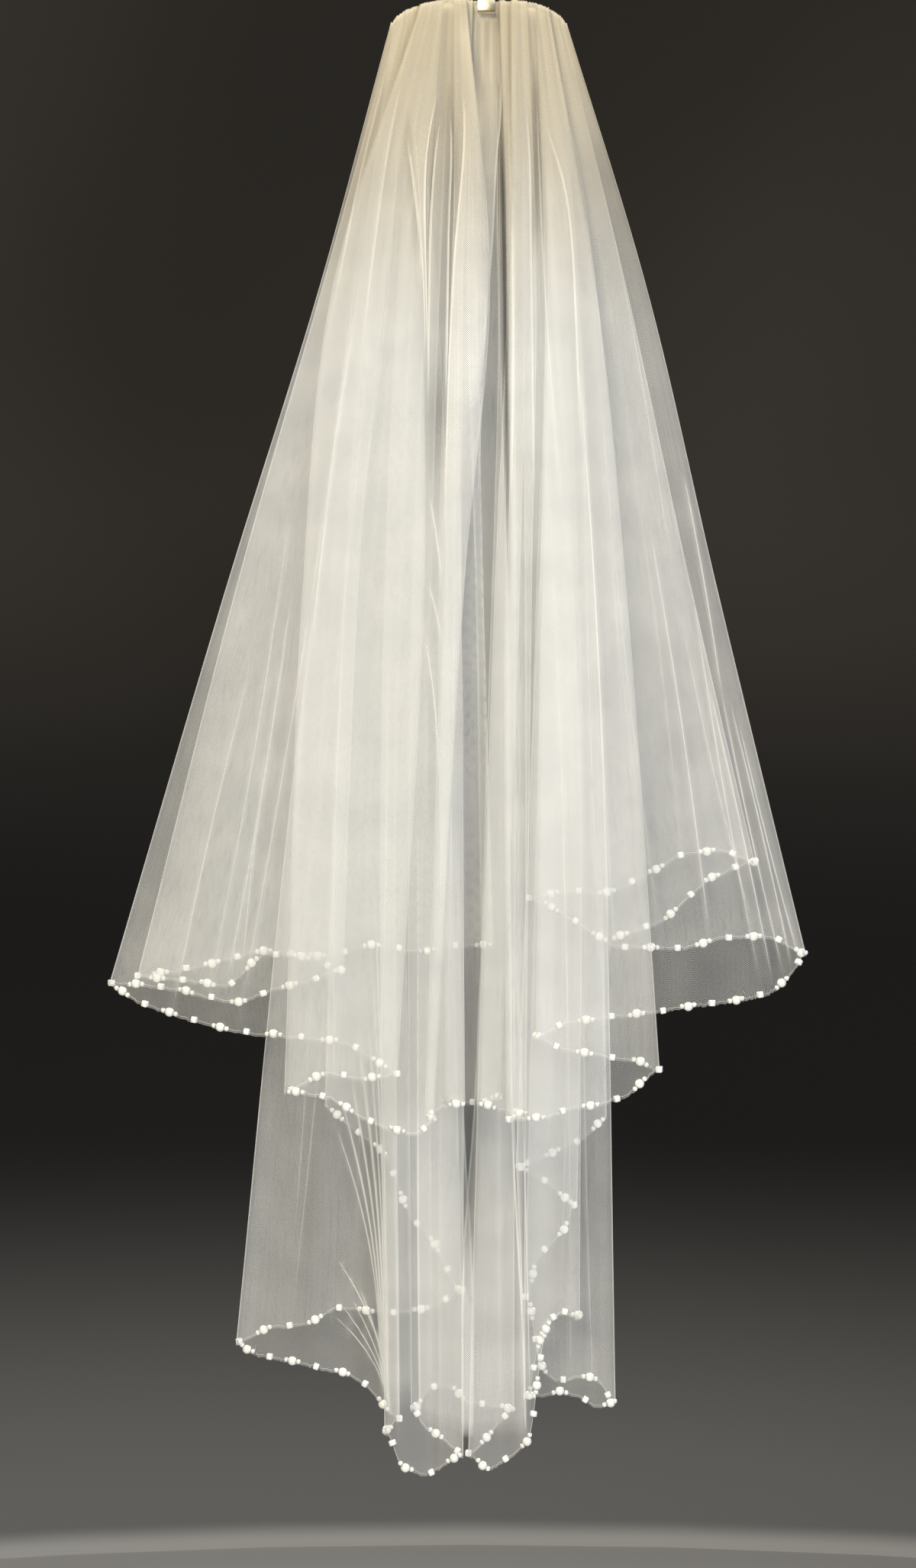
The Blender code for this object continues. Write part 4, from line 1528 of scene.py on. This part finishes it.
@dataclass(frozen=True)
class ThreadFinish(Finish):
    """Fine twisted sewing thread, with painted shade in the grooves between its plies."""

    name: str = "sewing_thread"
    light: Colour = (0.92, 0.91, 0.87)
    shade: Colour = (0.78, 0.77, 0.72)
    twist: float = 2600.0
    wear_scale: float = 300.0
    roughness: tuple[float, float] = (0.5, 0.7)

    def material(self) -> bpy.types.Material:
        """The thread's material.

        Returns:
            The material.
        """
        material, tree, shader = self.start()
        place = tree.node("ShaderNodeTexCoord")
        wave = tree.node("ShaderNodeTexWave", bands_direction="DIAGONAL")
        tree.fill(wave, {"Vector": place.outputs["Object"], "Scale": self.twist})
        # Diagonal bands between the darker and the lighter tone paint the shade in the grooves of
        # the twist.
        ply_bands_painted_shade = tree.blend(wave.outputs["Fac"], self.shade, self.light)
        rough = self.mottle(tree, self.wear_scale, *self.roughness)
        tree.fill(shader, {"Base Color": ply_bands_painted_shade, "Roughness": rough})
        return material


@dataclass(frozen=True)
class CombFinish(Finish):
    """Clear moulded plastic with a faint haze and fine wear in its gloss."""

    name: str = "comb_plastic"
    light: Colour = (0.88, 0.885, 0.87)
    shade: Colour = (0.78, 0.79, 0.78)
    clearness: tuple[float, float] = (0.55, 0.7)
    roughness: tuple[float, float] = (0.12, 0.3)
    coat: float = 0.3
    haze_scale: float = 120.0
    scratch_scale: float = 900.0
    cloud_scale: float = 70.0

    def material(self) -> bpy.types.Material:
        """The plastic's material.

        Returns:
            The material.
        """
        material, tree, shader = self.start()
        haze = self.mottle(tree, self.haze_scale, 0.0, 1.0)
        tree.fill(
            shader,
            {
                "Base Color": tree.blend(haze, self.shade, self.light),
                "Roughness": self.mottle(tree, self.scratch_scale, *self.roughness),
                "Alpha": self.mottle(tree, self.cloud_scale, *self.clearness),
                "Coat Weight": self.coat,
            },
        )
        return material


@dataclass(frozen=True)
class ClipFinish(Finish):
    """Thin spring steel with a pale gold plating, brushed and a little worn."""

    name: str = "pale_gold_plating"
    light: Colour = (0.88, 0.78, 0.58)
    shade: Colour = (0.76, 0.67, 0.49)
    roughness: tuple[float, float] = (0.34, 0.46)
    brush_scale: float = 420.0
    brush_detail: float = 4.0
    brush_stretch: float = 12.0
    wear_scale: float = 240.0
    bump_strength: float = 0.08
    bump_height: float = 0.0001

    def material(self) -> bpy.types.Material:
        """The plating's material.

        Returns:
            The material.
        """
        material, tree, shader = self.start()
        place = tree.node("ShaderNodeTexCoord")
        long = tree.node("ShaderNodeMapping")
        stretch = (1.0, 1.0, self.brush_stretch)
        tree.fill(long, {"Vector": place.outputs["Object"], "Scale": stretch})
        brushed = tree.node("ShaderNodeTexNoise")
        grain = {"Vector": long.outputs[0], "Scale": self.brush_scale, "Detail": self.brush_detail}
        tree.fill(brushed, grain)
        lines = brushed.outputs[0]
        bump = tree.node("ShaderNodeBump")
        lift = {"Strength": self.bump_strength, "Distance": self.bump_height, "Height": lines}
        tree.fill(bump, lift)
        worn = self.mottle(tree, self.wear_scale, 0.0, 1.0)
        tree.fill(
            shader,
            {
                "Base Color": tree.blend(worn, self.shade, self.light),
                "Roughness": tree.spread(lines, *self.roughness, *SOFT_PATCHES),
                "Metallic": 1.0,
                "Normal": bump.outputs[0],
            },
        )
        return material


PEARL = BeadFinish("ivory_pearl", (0.95, 0.94, 0.86), (0.88, 0.86, 0.77), 0.18, 0.26, 0.7, 0.1)
SEED = BeadFinish("clear_seed_bead", (0.86, 0.86, 0.82), (0.70, 0.71, 0.69), 0.08, 0.16, 0.9)
CUBE = BeadFinish("white_cube_bead", (0.96, 0.96, 0.93), (0.89, 0.89, 0.86), 0.24, 0.34, 0.5)


def only(piece: bpy.types.Object) -> None:
    """Deselects everything and makes one piece the active one.

    Args:
        piece: The piece.
    """
    bpy.ops.object.select_all(action="DESELECT")
    piece.select_set(True)
    bpy.context.view_layer.objects.active = piece


def apply(piece: bpy.types.Object, modifier: bpy.types.Modifier) -> None:
    """Applies a modifier of the piece."""
    only(piece)
    bpy.ops.object.modifier_apply(modifier=modifier.name)


def block(size: Vector, middle: Vector) -> bpy.types.Object:
    """A box of a size at a place, in metres, left in edit mode and selected all over.

    Args:
        size: Its size.
        middle: Its middle.

    Returns:
        The box.
    """
    bpy.ops.object.select_all(action="DESELECT")
    bpy.ops.mesh.primitive_cube_add(size=1.0, location=(0, 0, 0))
    bpy.ops.object.mode_set(mode="EDIT")
    bpy.ops.mesh.select_all(action="SELECT")
    bpy.ops.transform.resize(value=size)
    bpy.ops.transform.translate(value=middle)
    return bpy.context.object


def soften_edges(piece: bpy.types.Object, width: float, angle: float) -> None:
    """Rounds a piece's edges by a width in mm where they turn by more than an angle in degrees.

    Args:
        piece: The piece.
        width: The width.
        angle: The angle.
    """
    edges = piece.modifiers.new("Softening", "BEVEL")
    edges.width = width * MM
    edges.segments = 2
    edges.limit_method = "ANGLE"
    edges.angle_limit = math.radians(angle)
    apply(piece, edges)


def pick(
    piece: bpy.types.Object, test: Callable[[Vector, Vector], bool], kind: str = "FACE"
) -> int:
    """Selects, in edit mode, the faces, edges or points that pass a test of place and normal.

    Args:
        piece: The piece, in edit mode.
        test: True for a middle and a normal, in metres. An edge's normal is its direction.
        kind: FACE, EDGE or VERT.

    Returns:
        How many are selected.
    """
    bpy.ops.mesh.select_mode(type=kind)
    bpy.ops.mesh.select_all(action="DESELECT")
    shape = bmesh.from_edit_mesh(piece.data)
    chosen = 0
    if kind == "FACE":
        for item in shape.faces:
            item.select = test(item.calc_center_median(), item.normal)
            chosen += item.select
    elif kind == "EDGE":
        for item in shape.edges:
            start, end = (vert.co for vert in item.verts)
            item.select = test((start + end) / 2, (end - start).normalized())
            chosen += item.select
    else:
        for item in shape.verts:
            item.select = test(item.co, item.normal)
            chosen += item.select
    shape.select_flush_mode()
    bmesh.update_edit_mesh(piece.data)
    return chosen


def finish_piece(
    piece: bpy.types.Object, name: str, material: bpy.types.Material
) -> bpy.types.Object:
    """Names a finished piece, gives it its material and lets it ride on the root body.

    Args:
        piece: The piece.
        name: Its name.
        material: Its material.

    Returns:
        The same piece.
    """
    piece.name = name
    piece.data.name = name
    piece.data.materials.clear()
    piece.data.materials.append(material)
    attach(piece, ROOT)
    LOG.info("%s: %d faces", name, len(piece.data.polygons))
    return piece


def stamp(template: bpy.types.Object, places: Iterable[Matrix]) -> bpy.types.Object:
    """Joins copies of a small shape, each at its place, into one piece.

    Args:
        template: The small shape, which is removed afterwards.
        places: Where each copy goes.

    Returns:
        The joined piece, at the origin.
    """
    base = np.array([vert.co for vert in template.data.vertices])
    faces = [tuple(face.vertices) for face in template.data.polygons]
    points: list[Array] = []
    joined: list[tuple[int, ...]] = []
    for number, place in enumerate(places):
        turn = np.array(place.to_3x3())
        points.append(base @ turn.T + np.array(place.translation))
        shift = number * len(base)
        joined += [tuple(index + shift for index in face) for face in faces]
    mesh = plain_mesh(template.name, np.concatenate(points), joined)
    mesh.shade_smooth()
    piece = add_piece(template.name, mesh)
    bpy.data.objects.remove(template)
    return piece


@dataclass
class BeadedHem:
    """Pearls with a seed bead on each side, a cube bead between them, and the hem's thread.

    Lengths are in mm. The first pearl sits that far along the line, and the rest a repeat apart.
    """

    name: str
    line: Array
    first: float
    repeat: float = 34.5
    pearl_radius: float = 2.8
    seed_radius: float = 1.6
    cube_side: float = 3.6
    thread_radius: float = 0.07
    seed_gap: float = -0.25
    pearl_grid: tuple[int, int] = (12, 8)
    seed_grid: tuple[int, int] = (8, 5)
    dimple: float = 0.28
    cube_hole: float = 0.34
    cube_sink: float = 0.1
    cube_softening: float = 0.12

    def place(self, distance: float) -> Matrix:
        """Where a bead sits, with its hole along the thread, in metres.

        Args:
            distance: How far along the hem it sits, in mm.

        Returns:
            The bead's place and turn.
        """
        along = run_lengths(self.line)
        reach = self.pearl_radius
        point, before, after = (
            Vector([float(np.interp(d, along, self.line[:, axis])) for axis in range(3)])
            for d in (distance, distance - reach, distance + reach)
        )
        turn = (after - before).to_track_quat("Z", "Y").to_matrix().to_4x4()
        return Matrix.Translation(point * MM) @ turn

    def stations(self, shift: float) -> list[float]:
        """The distances along the hem of one kind of bead, a repeat apart.

        Args:
            shift: How far the kind sits after the pearls.

        Returns:
            The distances in mm.
        """
        length = float(run_lengths(self.line)[-1])
        count = int((length - self.first - shift) / self.repeat) + 1
        return [self.first + shift + self.repeat * number for number in range(count)]

    def round_bead(self, name: str, radius: float, sides: int, rings: int) -> bpy.types.Object:
        """A round bead with a dimple at each end of its hole.

        Args:
            name: The piece's name.
            radius: The bead's radius in mm.
            sides: The faces round it.
            rings: The rings of faces from pole to pole.

        Returns:
            The bead, with its hole along Z.
        """
        bpy.ops.object.select_all(action="DESELECT")
        bpy.ops.mesh.primitive_uv_sphere_add(
            segments=sides, ring_count=rings, radius=radius * MM, location=(0, 0, 0)
        )
        bead = bpy.context.object
        bead.name = name
        bpy.ops.object.mode_set(mode="EDIT")
        for side in (1, -1):
            pick(bead, lambda place, _: place.z * side > 0.999 * radius * MM, "VERT")
            bpy.ops.transform.translate(value=(0, 0, -self.dimple * radius * MM * side))
        bpy.ops.object.mode_set(mode="OBJECT")
        return bead

    def cube_bead(self) -> bpy.types.Object:
        """A cube bead with softened edges and a sunk hole at both ends.

        Returns:
            The bead, with its hole along Z.
        """
        side = self.cube_side * MM
        bpy.ops.object.select_all(action="DESELECT")
        bpy.ops.mesh.primitive_cube_add(size=side, location=(0, 0, 0))
        bead = bpy.context.object
        bead.name = f"{self.name}_cube_beads"
        bpy.ops.object.mode_set(mode="EDIT")
        pick(bead, lambda _, normal: abs(normal.z) > 0.9)
        bpy.ops.mesh.inset(thickness=self.cube_hole * side, depth=-self.cube_sink * side)
        pick(bead, lambda place, _: place.length > 0.5 * side, "EDGE")
        bpy.ops.mesh.bevel(offset=self.cube_softening * side, segments=1, affect="EDGES")
        bpy.ops.object.mode_set(mode="OBJECT")
        return bead

    def thread(self) -> bpy.types.Object:
        """The sewing thread that runs along the hem through all the beads.

        Returns:
            The thread as a mesh.
        """
        curve = bpy.data.curves.new(f"{self.name}_hem_thread", "CURVE")
        curve.dimensions = "3D"
        spline = curve.splines.new("POLY")
        spline.points.add(len(self.line) - 1)
        for point, place in zip(spline.points, self.line * MM):
            point.co = (*place, 1.0)
        curve.bevel_depth = self.thread_radius * MM
        curve.bevel_resolution = 0
        curve.use_fill_caps = True
        piece = add_piece(curve.name, curve)
        only(piece)
        bpy.ops.object.convert(target="MESH")
        piece.data.shade_smooth()
        return piece

    def build(self) -> list[bpy.types.Object]:
        """Makes the hem's beads and thread, each kind as one piece.

        Returns:
            The pieces, the beads first.
        """
        pearls = self.stations(0.0)
        cubes = self.stations(self.repeat / 2)
        apart = self.pearl_radius + self.seed_radius + self.seed_gap
        seeds = [spot + side * apart for spot in pearls for side in (-1, 1)]
        pearl = self.round_bead(f"{self.name}_pearls", self.pearl_radius, *self.pearl_grid)
        seed = self.round_bead(f"{self.name}_seed_beads", self.seed_radius, *self.seed_grid)
        made = []
        for template, spots, finish in (
            (pearl, pearls, PEARL),
            (seed, seeds, SEED),
            (self.cube_bead(), cubes, CUBE),
        ):
            piece = stamp(template, [self.place(spot) for spot in spots])
            made.append(finish_piece(piece, piece.name, finish.material()))
        thread = self.thread()
        made.append(finish_piece(thread, thread.name, ThreadFinish().material()))
        return made


@dataclass
class HairComb:
    """The bowed plastic comb that both tiers are gathered and stitched on."""

    half_width: float = 45.0
    teeth: int = 18
    tooth_share: float = 0.38
    tooth_length: float = 38.0
    spine_height: float = 7.0
    below_top: float = 2.0
    thickness: float = 2.0
    front_y: float = 3.6
    bow: float = 14.0
    bow_half_width: float = 50.0
    tooth_tilt: float = 0.13
    tooth_taper: tuple[tuple[float, float], ...] = ((0.5, 0.9), (0.9, 0.7), (1.0, 0.4))
    rounding: float = 0.45
    rounding_angle: float = 30.0
    stitch_radius: float = 0.22
    stitch_gap: float = 0.25
    stitch_turns: int = 3
    stitch_pitch: float = 2.1
    stitch_lean: float = 0.12
    stitch_squareness: float = 0.5
    stitch_grid: tuple[int, int] = (16, 4)

    @property
    def root_z(self) -> float:
        """The height of the teeth's roots."""
        return FAN.top_z - self.below_top - self.spine_height

    def front(self, x: float) -> float:
        """The y of the spine's front, which bows round the head."""
        return self.front_y + self.bow * ((x - FAN.centre_x) / self.bow_half_width) ** 2

    def tooth_middles(self) -> list[float]:
        """The middle of each tooth across the veil.

        Returns:
            Places across the veil in mm.
        """
        pitch = 2 * self.half_width / self.teeth
        left = FAN.centre_x - self.half_width
        return [left + pitch * (index + 0.5) for index in range(self.teeth)]

    def build(self) -> bpy.types.Object:
        """Shapes the spine from a block, draws the teeth down from it and bows it.

        Returns:
            The finished comb.
        """
        half_tooth = self.half_width / self.teeth * self.tooth_share
        top = FAN.top_z - self.below_top
        middle = Vector((FAN.centre_x, self.thickness / 2, (top + self.root_z) / 2)) * MM
        size = Vector((2 * self.half_width, self.thickness, self.spine_height)) * MM
        comb = block(size, middle)
        for tooth in self.tooth_middles():
            for side in (-1, 1):
                bpy.ops.mesh.select_all(action="SELECT")
                cut = ((tooth + side * half_tooth) * MM, 0, 0)
                bpy.ops.mesh.bisect(plane_co=cut, plane_no=(1, 0, 0))
        for tooth in self.tooth_middles():
            self.draw_tooth(comb, tooth * MM, half_tooth * MM)
        bpy.ops.object.mode_set(mode="OBJECT")
        for vert in comb.data.vertices:
            x, z = vert.co.x / MM, vert.co.z / MM
            if z > self.root_z + 0.5 * self.spine_height:
                vert.co.z = (FAN.top_edge(x) - self.below_top) * MM
            lean = self.tooth_tilt * max(self.root_z - z, 0.0)
            vert.co.y += (self.front(x) + lean) * MM
        soften_edges(comb, self.rounding, self.rounding_angle)
        comb.data.shade_smooth()
        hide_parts("comb")
        return finish_piece(comb, "hair_comb", CombFinish().material())

    def draw_tooth(self, comb: bpy.types.Object, middle: float, half: float) -> None:
        """Draws one tooth down from the spine's underside, narrower towards its tip.

        Args:
            comb: The comb, in edit mode.
            middle: The tooth's middle across the veil, in metres.
            half: Half of its width at the root, in metres.
        """
        level = self.root_z * MM
        pick(
            comb,
            lambda place, normal: normal.z < -0.9
            and abs(place.z - level) < 0.1 * MM
            and abs(place.x - middle) < half,
        )
        width, down = 1.0, 0.0
        for share, narrow in self.tooth_taper:
            step = (share - down) * self.tooth_length * MM
            bpy.ops.mesh.extrude_region_move(TRANSFORM_OT_translate={"value": (0, 0, -step)})
            bpy.ops.transform.resize(value=(narrow / width, 1.0, 1.0))
            width, down = narrow, share

    def stitches(self) -> bpy.types.Object:
        """The thread that binds the gathered net to the spine, a few turns beside each tooth.

        Returns:
            All the stitches as one piece.
        """
        pitch = 2 * self.half_width / self.teeth
        tube = 0.1 * MM
        bpy.ops.object.select_all(action="DESELECT")
        around, across = self.stitch_grid
        bpy.ops.mesh.primitive_torus_add(
            major_segments=around, minor_segments=across, major_radius=MM, minor_radius=tube
        )
        loop = bpy.context.object
        loop.name = "comb_stitches"
        half_height = self.spine_height / 2 + self.stitch_gap
        half_depth = self.thickness / 2 + self.stitch_gap
        square = self.stitch_squareness
        for vert in loop.data.vertices:
            out = vert.co.xy.length
            angle = math.atan2(vert.co.y, vert.co.x)
            thick = (out - MM) / tube * self.stitch_radius
            across = math.copysign(abs(math.cos(angle)) ** square, math.cos(angle))
            along = math.copysign(abs(math.sin(angle)) ** square, math.sin(angle))
            x = vert.co.z / tube * self.stitch_radius
            y = across * half_depth + math.cos(angle) * thick
            z = along * half_height + math.sin(angle) * thick
            vert.co = Vector((x, y, z)) * MM
        places = []
        for number in range(self.teeth - 1):
            gap = self.tooth_middles()[number] + pitch / 2
            for turn in range(self.stitch_turns):
                step = turn - (self.stitch_turns - 1) / 2
                x = gap + step * self.stitch_pitch * self.stitch_radius
                drop = float(FAN.top_edge(x)) - FAN.top_z
                z = self.root_z + self.spine_height / 2 + drop / 2
                y = self.front(x) + self.thickness / 2
                lean = Matrix.Rotation(self.stitch_lean * step, 4, "Y")
                places.append(Matrix.Translation(Vector((x, y, z)) * MM) @ lean)
        piece = stamp(loop, places)
        return finish_piece(piece, "comb_stitches", ThreadFinish().material())


@dataclass
class SpringClip:
    """The plated spring clip that bites the gathered edge, with a tab and a hole to hang from."""

    width: float = 10.2
    sheet: float = 0.8
    bite: float = 8.0
    lip_flare: float = 2.4
    lip_height: float = 2.2
    shoulder_rise: float = 5.0
    leg_share: float = 0.6
    arch_height: float = 9.0
    arch_steps: int = 12
    front_layer: int = 4
    seam_gap: float = 0.3
    cloth_wall: float = 1.0
    tab_thickness: float = 1.6
    tab_top: float = 5.0
    tab_bottom: float = -12.0
    tab_rounding: float = 2.5
    tab_steps: int = 6
    hole_radius: float = 3.2
    hole_sides: int = 48
    softening: float = 0.16
    softening_angle: float = 40.0
    smooth_angle: float = 35.0

    def path(self, comb: HairComb) -> list[tuple[float, float]]:
        """The strip's middle line, from the front lip over the arch to the back leg's foot.

        Args:
            comb: The comb that the back leg passes behind.

        Returns:
            Points from front to back and up, in mm.
        """
        bite_z = FAN.top_z - self.bite
        flat = float(FAN.depth(self.front_layer, np.array(0.0), np.array(bite_z)))
        front = flat - self.cloth_wall / 2 - self.seam_gap - self.sheet / 2
        back = comb.front(self.width / 2) + comb.thickness + self.seam_gap + self.sheet / 2
        lip_top = bite_z + self.lip_height
        shoulder = FAN.top_z + self.shoulder_rise
        leg = float(mix(bite_z, shoulder, self.leg_share))
        line = [(front - self.lip_flare, bite_z)]
        line.append((front - self.lip_flare / 3, bite_z + self.lip_height / 2))
        line += [(front, lip_top), (front, leg)]
        for step in range(self.arch_steps + 1):
            angle = math.pi * (1 - step / self.arch_steps)
            across = (back - front) / 2 * math.cos(angle)
            rise = self.arch_height * math.sin(angle)
            line.append(((front + back) / 2 + across, shoulder + rise))
        line += [(back, leg), (back, lip_top)]
        return line

    def build(self, comb: HairComb) -> bpy.types.Object:
        """Bends the strip, joins the tab to it, drills the hole and softens the edges.

        Args:
            comb: The comb that the clip bites on.

        Returns:
            The finished clip.
        """
        line = [Vector((0.0, y, z)) * MM for y, z in self.path(comb)]
        bpy.ops.object.select_all(action="DESELECT")
        bpy.ops.mesh.primitive_plane_add(size=self.width * MM, location=(0, 0, 0))
        clip = bpy.context.object
        bpy.ops.object.mode_set(mode="EDIT")
        near = -self.width / 2 * MM
        pick(clip, lambda place, _: place.y < near / 2, "VERT")
        bpy.ops.mesh.delete(type="VERT")
        bpy.ops.mesh.select_mode(type="EDGE")
        bpy.ops.mesh.select_all(action="SELECT")
        bpy.ops.transform.translate(value=line[0] - Vector((0.0, -near, 0.0)))
        for start, end in zip(line, line[1:]):
            bpy.ops.mesh.extrude_edges_move(TRANSFORM_OT_translate={"value": end - start})
        bpy.ops.object.mode_set(mode="OBJECT")
        wall = clip.modifiers.new("Sheet", "SOLIDIFY")
        wall.thickness = self.sheet * MM
        wall.offset = 0.0
        wall.use_even_offset = True
        apply(clip, wall)
        for helper, operation in ((self.tab(), "UNION"), (self.hole(), "DIFFERENCE")):
            step = clip.modifiers.new(helper.name, "BOOLEAN")
            step.operation = operation
            step.object = helper
            apply(clip, step)
            bpy.data.objects.remove(helper)
        soften_edges(clip, self.softening, self.softening_angle)
        only(clip)
        bpy.ops.object.shade_smooth_by_angle(angle=math.radians(self.smooth_angle))
        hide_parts("clip")
        return finish_piece(clip, "hanging_clip", ClipFinish().material())

    def tab(self) -> bpy.types.Object:
        """The flat tab above the arch, with its two upper corners rounded.

        Returns:
            The tab, to be joined to the strip.
        """
        size = Vector((self.width, self.tab_thickness, self.tab_top - self.tab_bottom)) * MM
        middle = (self.tab_top + self.tab_bottom) / 2 * MM
        tab = block(size, Vector((0, 0, middle)))
        pick(tab, lambda place, run: place.z > middle and abs(run.y) > 0.9, "EDGE")
        rounding, steps = self.tab_rounding * MM, self.tab_steps
        bpy.ops.mesh.bevel(offset=rounding, segments=steps, affect="EDGES")
        bpy.ops.object.mode_set(mode="OBJECT")
        return tab

    def hole(self) -> bpy.types.Object:
        """The cutter for the hole, through the tab.

        Returns:
            The cutter, to be taken away from the tab.
        """
        bpy.ops.object.select_all(action="DESELECT")
        bpy.ops.mesh.primitive_cylinder_add(
            vertices=self.hole_sides,
            radius=self.hole_radius * MM,
            depth=4 * self.tab_thickness * MM,
            location=(0, 0, -self.hole_radius * MM),
            rotation=(math.pi / 2, 0, 0),
        )
        return bpy.context.object


class Lamp(NamedTuple):
    """A soft lamp: its place and target in metres, its side, its power in watts, its colour."""

    name: str
    place: tuple[float, float, float]
    target: tuple[float, float, float]
    side: float
    power: float
    colour: Colour


LAMPS = (
    Lamp("key", (-1.3, -2.6, 1.5), (0, 0, -0.3), 1.6, 124.0, (1.0, 0.92, 0.77)),
    Lamp("fill", (1.5, -2.6, -0.5), (0, 0, -0.75), 1.4, 65.0, (0.86, 0.91, 1.0)),
    Lamp("back_left", (-1.8, 2.4, 1.2), (0, 0, -0.5), 1.6, 96.0, (1.0, 0.98, 0.95)),
    Lamp("back_right", (1.8, 2.4, 0.6), (0, 0, -0.5), 1.6, 80.0, (0.95, 0.98, 1.0)),
)


@dataclass(frozen=True)
class Studio:
    """A plain room, soft lamps, and the camera where the photo was taken from."""

    photo_size: tuple[int, int] = (1200, 2054)
    pixel: float = 0.465
    distance: float = 1.8
    camera_x: float = -0.0172
    camera_z: float = -0.5002
    sensor: float = 36.0
    room_radius: float = 4.5
    room_grid: tuple[int, int] = (64, 32)
    room_smooth: float = 30.0
    floor_z: float = -2.0
    wall: Colour = (0.037, 0.033, 0.028)
    # Painted light and shade on the walls: lighter patches above, a darker lower wall and a
    # lighter foot.
    painted_light_patch: Colour = (0.066, 0.058, 0.049)
    painted_wall_shade: Colour = (0.0045, 0.0042, 0.004)
    painted_foot_light: Colour = (0.165, 0.163, 0.156)
    floor: Colour = (0.42, 0.41, 0.39)
    painted_light_patch_scale: float = 0.6
    floor_rise: tuple[float, float] = (-1.99, -1.95)
    painted_foot_light_rise: tuple[float, float] = (-1.95, -1.2)
    light_rise: tuple[float, float] = (-0.85, 0.15)
    roughness: float = 0.9
    clear_layers: int = 32
    bounces: int = 2
    diffuse_bounces: int = 1
    least_light: float = 0.05

    def camera(self) -> None:
        """Puts the camera in front of the veil, with the photo's field of view."""
        data = bpy.data.cameras.new("camera")
        data.sensor_width = self.sensor
        half_field = self.photo_size[1] / 2 * self.pixel * MM / self.distance
        data.lens = self.sensor / 2 / half_field
        camera = add_piece("camera", data)
        camera.location = (self.camera_x, -self.distance, self.camera_z)
        camera.rotation_euler = (math.pi / 2, 0, 0)
        bpy.context.scene.camera = camera

    def lamps(self) -> None:
        """Hangs the soft lamps, which the camera itself doesn't see."""
        for lamp in LAMPS:
            data = bpy.data.lights.new(lamp.name, "AREA")
            data.shape = "SQUARE"
            data.size = lamp.side
            data.energy = lamp.power
            data.color = lamp.colour
            light = add_piece(lamp.name, data)
            light.location = lamp.place
            aim = Vector(lamp.target) - Vector(lamp.place)
            light.rotation_euler = aim.to_track_quat("-Z", "Y").to_euler()
            light.visible_camera = False

    def room(self) -> None:
        """A round room with a pale floor and dark walls with painted light and shade."""
        sides, rings = self.room_grid
        bpy.ops.object.select_all(action="DESELECT")
        bpy.ops.mesh.primitive_uv_sphere_add(
            segments=sides, ring_count=rings, radius=self.room_radius, location=(0, 0, 0)
        )
        room = bpy.context.object
        room.name = "studio_room"
        bpy.ops.object.mode_set(mode="EDIT")
        bpy.ops.mesh.select_all(action="SELECT")
        bpy.ops.mesh.bisect(
            plane_co=(0, 0, self.floor_z), plane_no=(0, 0, 1), clear_inner=True, use_fill=True
        )
        bpy.ops.object.mode_set(mode="OBJECT")
        only(room)
        bpy.ops.object.shade_smooth_by_angle(angle=math.radians(self.room_smooth))
        room.data.materials.append(self.room_material())

    def room_material(self) -> bpy.types.Material:
        """Matt paint: pale on the floor, and on the walls dark with soft patches of painted light
        at the top, painted shade lower down and a painted lighter foot.

        Returns:
            The paint.
        """
        material = bpy.data.materials.new("studio_paint")
        material.use_nodes = True
        tree = Tree(material.node_tree)
        shader = material.node_tree.nodes["Principled BSDF"]
        place = tree.node("ShaderNodeTexCoord")
        parts = tree.node("ShaderNodeSeparateXYZ")
        tree.put(parts.inputs[0], place.outputs["Object"])
        height = parts.outputs["Z"]
        above = tree.spread(height, 0.0, 1.0, *self.floor_rise)
        # Painted light in soft patches on the upper walls, painted shade below them, and a painted
        # lighter band at their foot.
        low = tree.spread(height, 1.0, 0.0, *self.painted_foot_light_rise)
        high = tree.spread(height, 0.0, 1.0, *self.light_rise)
        patches = Finish.mottle(tree, self.painted_light_patch_scale, 0.0, 1.0)
        painted_lit_wall = tree.blend(patches, self.wall, self.painted_light_patch)
        dark = tree.blend(high, self.painted_wall_shade, painted_lit_wall)
        paint = tree.blend(low, dark, self.painted_foot_light)
        colour = tree.blend(above, self.floor, paint)
        tree.fill(shader, {"Base Color": colour, "Roughness": self.roughness})
        return material

    def build(self) -> None:
        """Sets up the camera, the lamps, the room and the look of plain photographs."""
        self.camera()
        self.lamps()
        self.room()
        scene = bpy.context.scene
        scene.view_settings.view_transform = "Standard"
        scene.cycles.transparent_max_bounces = self.clear_layers
        scene.cycles.max_bounces = self.bounces
        scene.cycles.diffuse_bounces = self.diffuse_bounces
        scene.cycles.light_sampling_threshold = self.least_light


def main() -> None:
    """Builds the veil, its hems, the comb, the clip and the studio."""
    logging.basicConfig(level=logging.INFO, format="%(name)s %(message)s")
    bpy.ops.object.select_all(action="DESELECT")
    Studio().build()
    upper = TulleTier(
        name="upper_tier_net",
        node="upper_tier",
        table=UPPER_FOLDS,
        heights=(-201.0, -377.0),
        creases=UPPER_CREASES,
        laps=UPPER_LAPS,
        partings=PARTINGS,
        flat_size=(1.5, 0.7),
        flat_area=0.825,
        seed=11,
    )
    lower = TulleTier(
        name="lower_tier_net",
        node="lower_tier",
        table=LOWER_FOLDS,
        heights=(-253.0, -487.0),
        creases=LOWER_CREASES,
        laps=LOWER_LAPS,
        partings=PARTINGS,
        flat_size=(0.95, 0.9),
        flat_area=0.67,
        seed=23,
        rings=128,
        net_cover=0.175,
    )
    finish = TulleFinish()
    for tier, label, first_pearl in ((upper, "upper", 6.0), (lower, "lower", 10.0)):
        net = tier.build(finish)
        hem = BeadedHem(label, tier.hem_line(), first_pearl).build()
    comb = HairComb()
    comb.build()
    comb.stitches()
    SpringClip().build(comb)


if __name__ == "__main__":
    main()
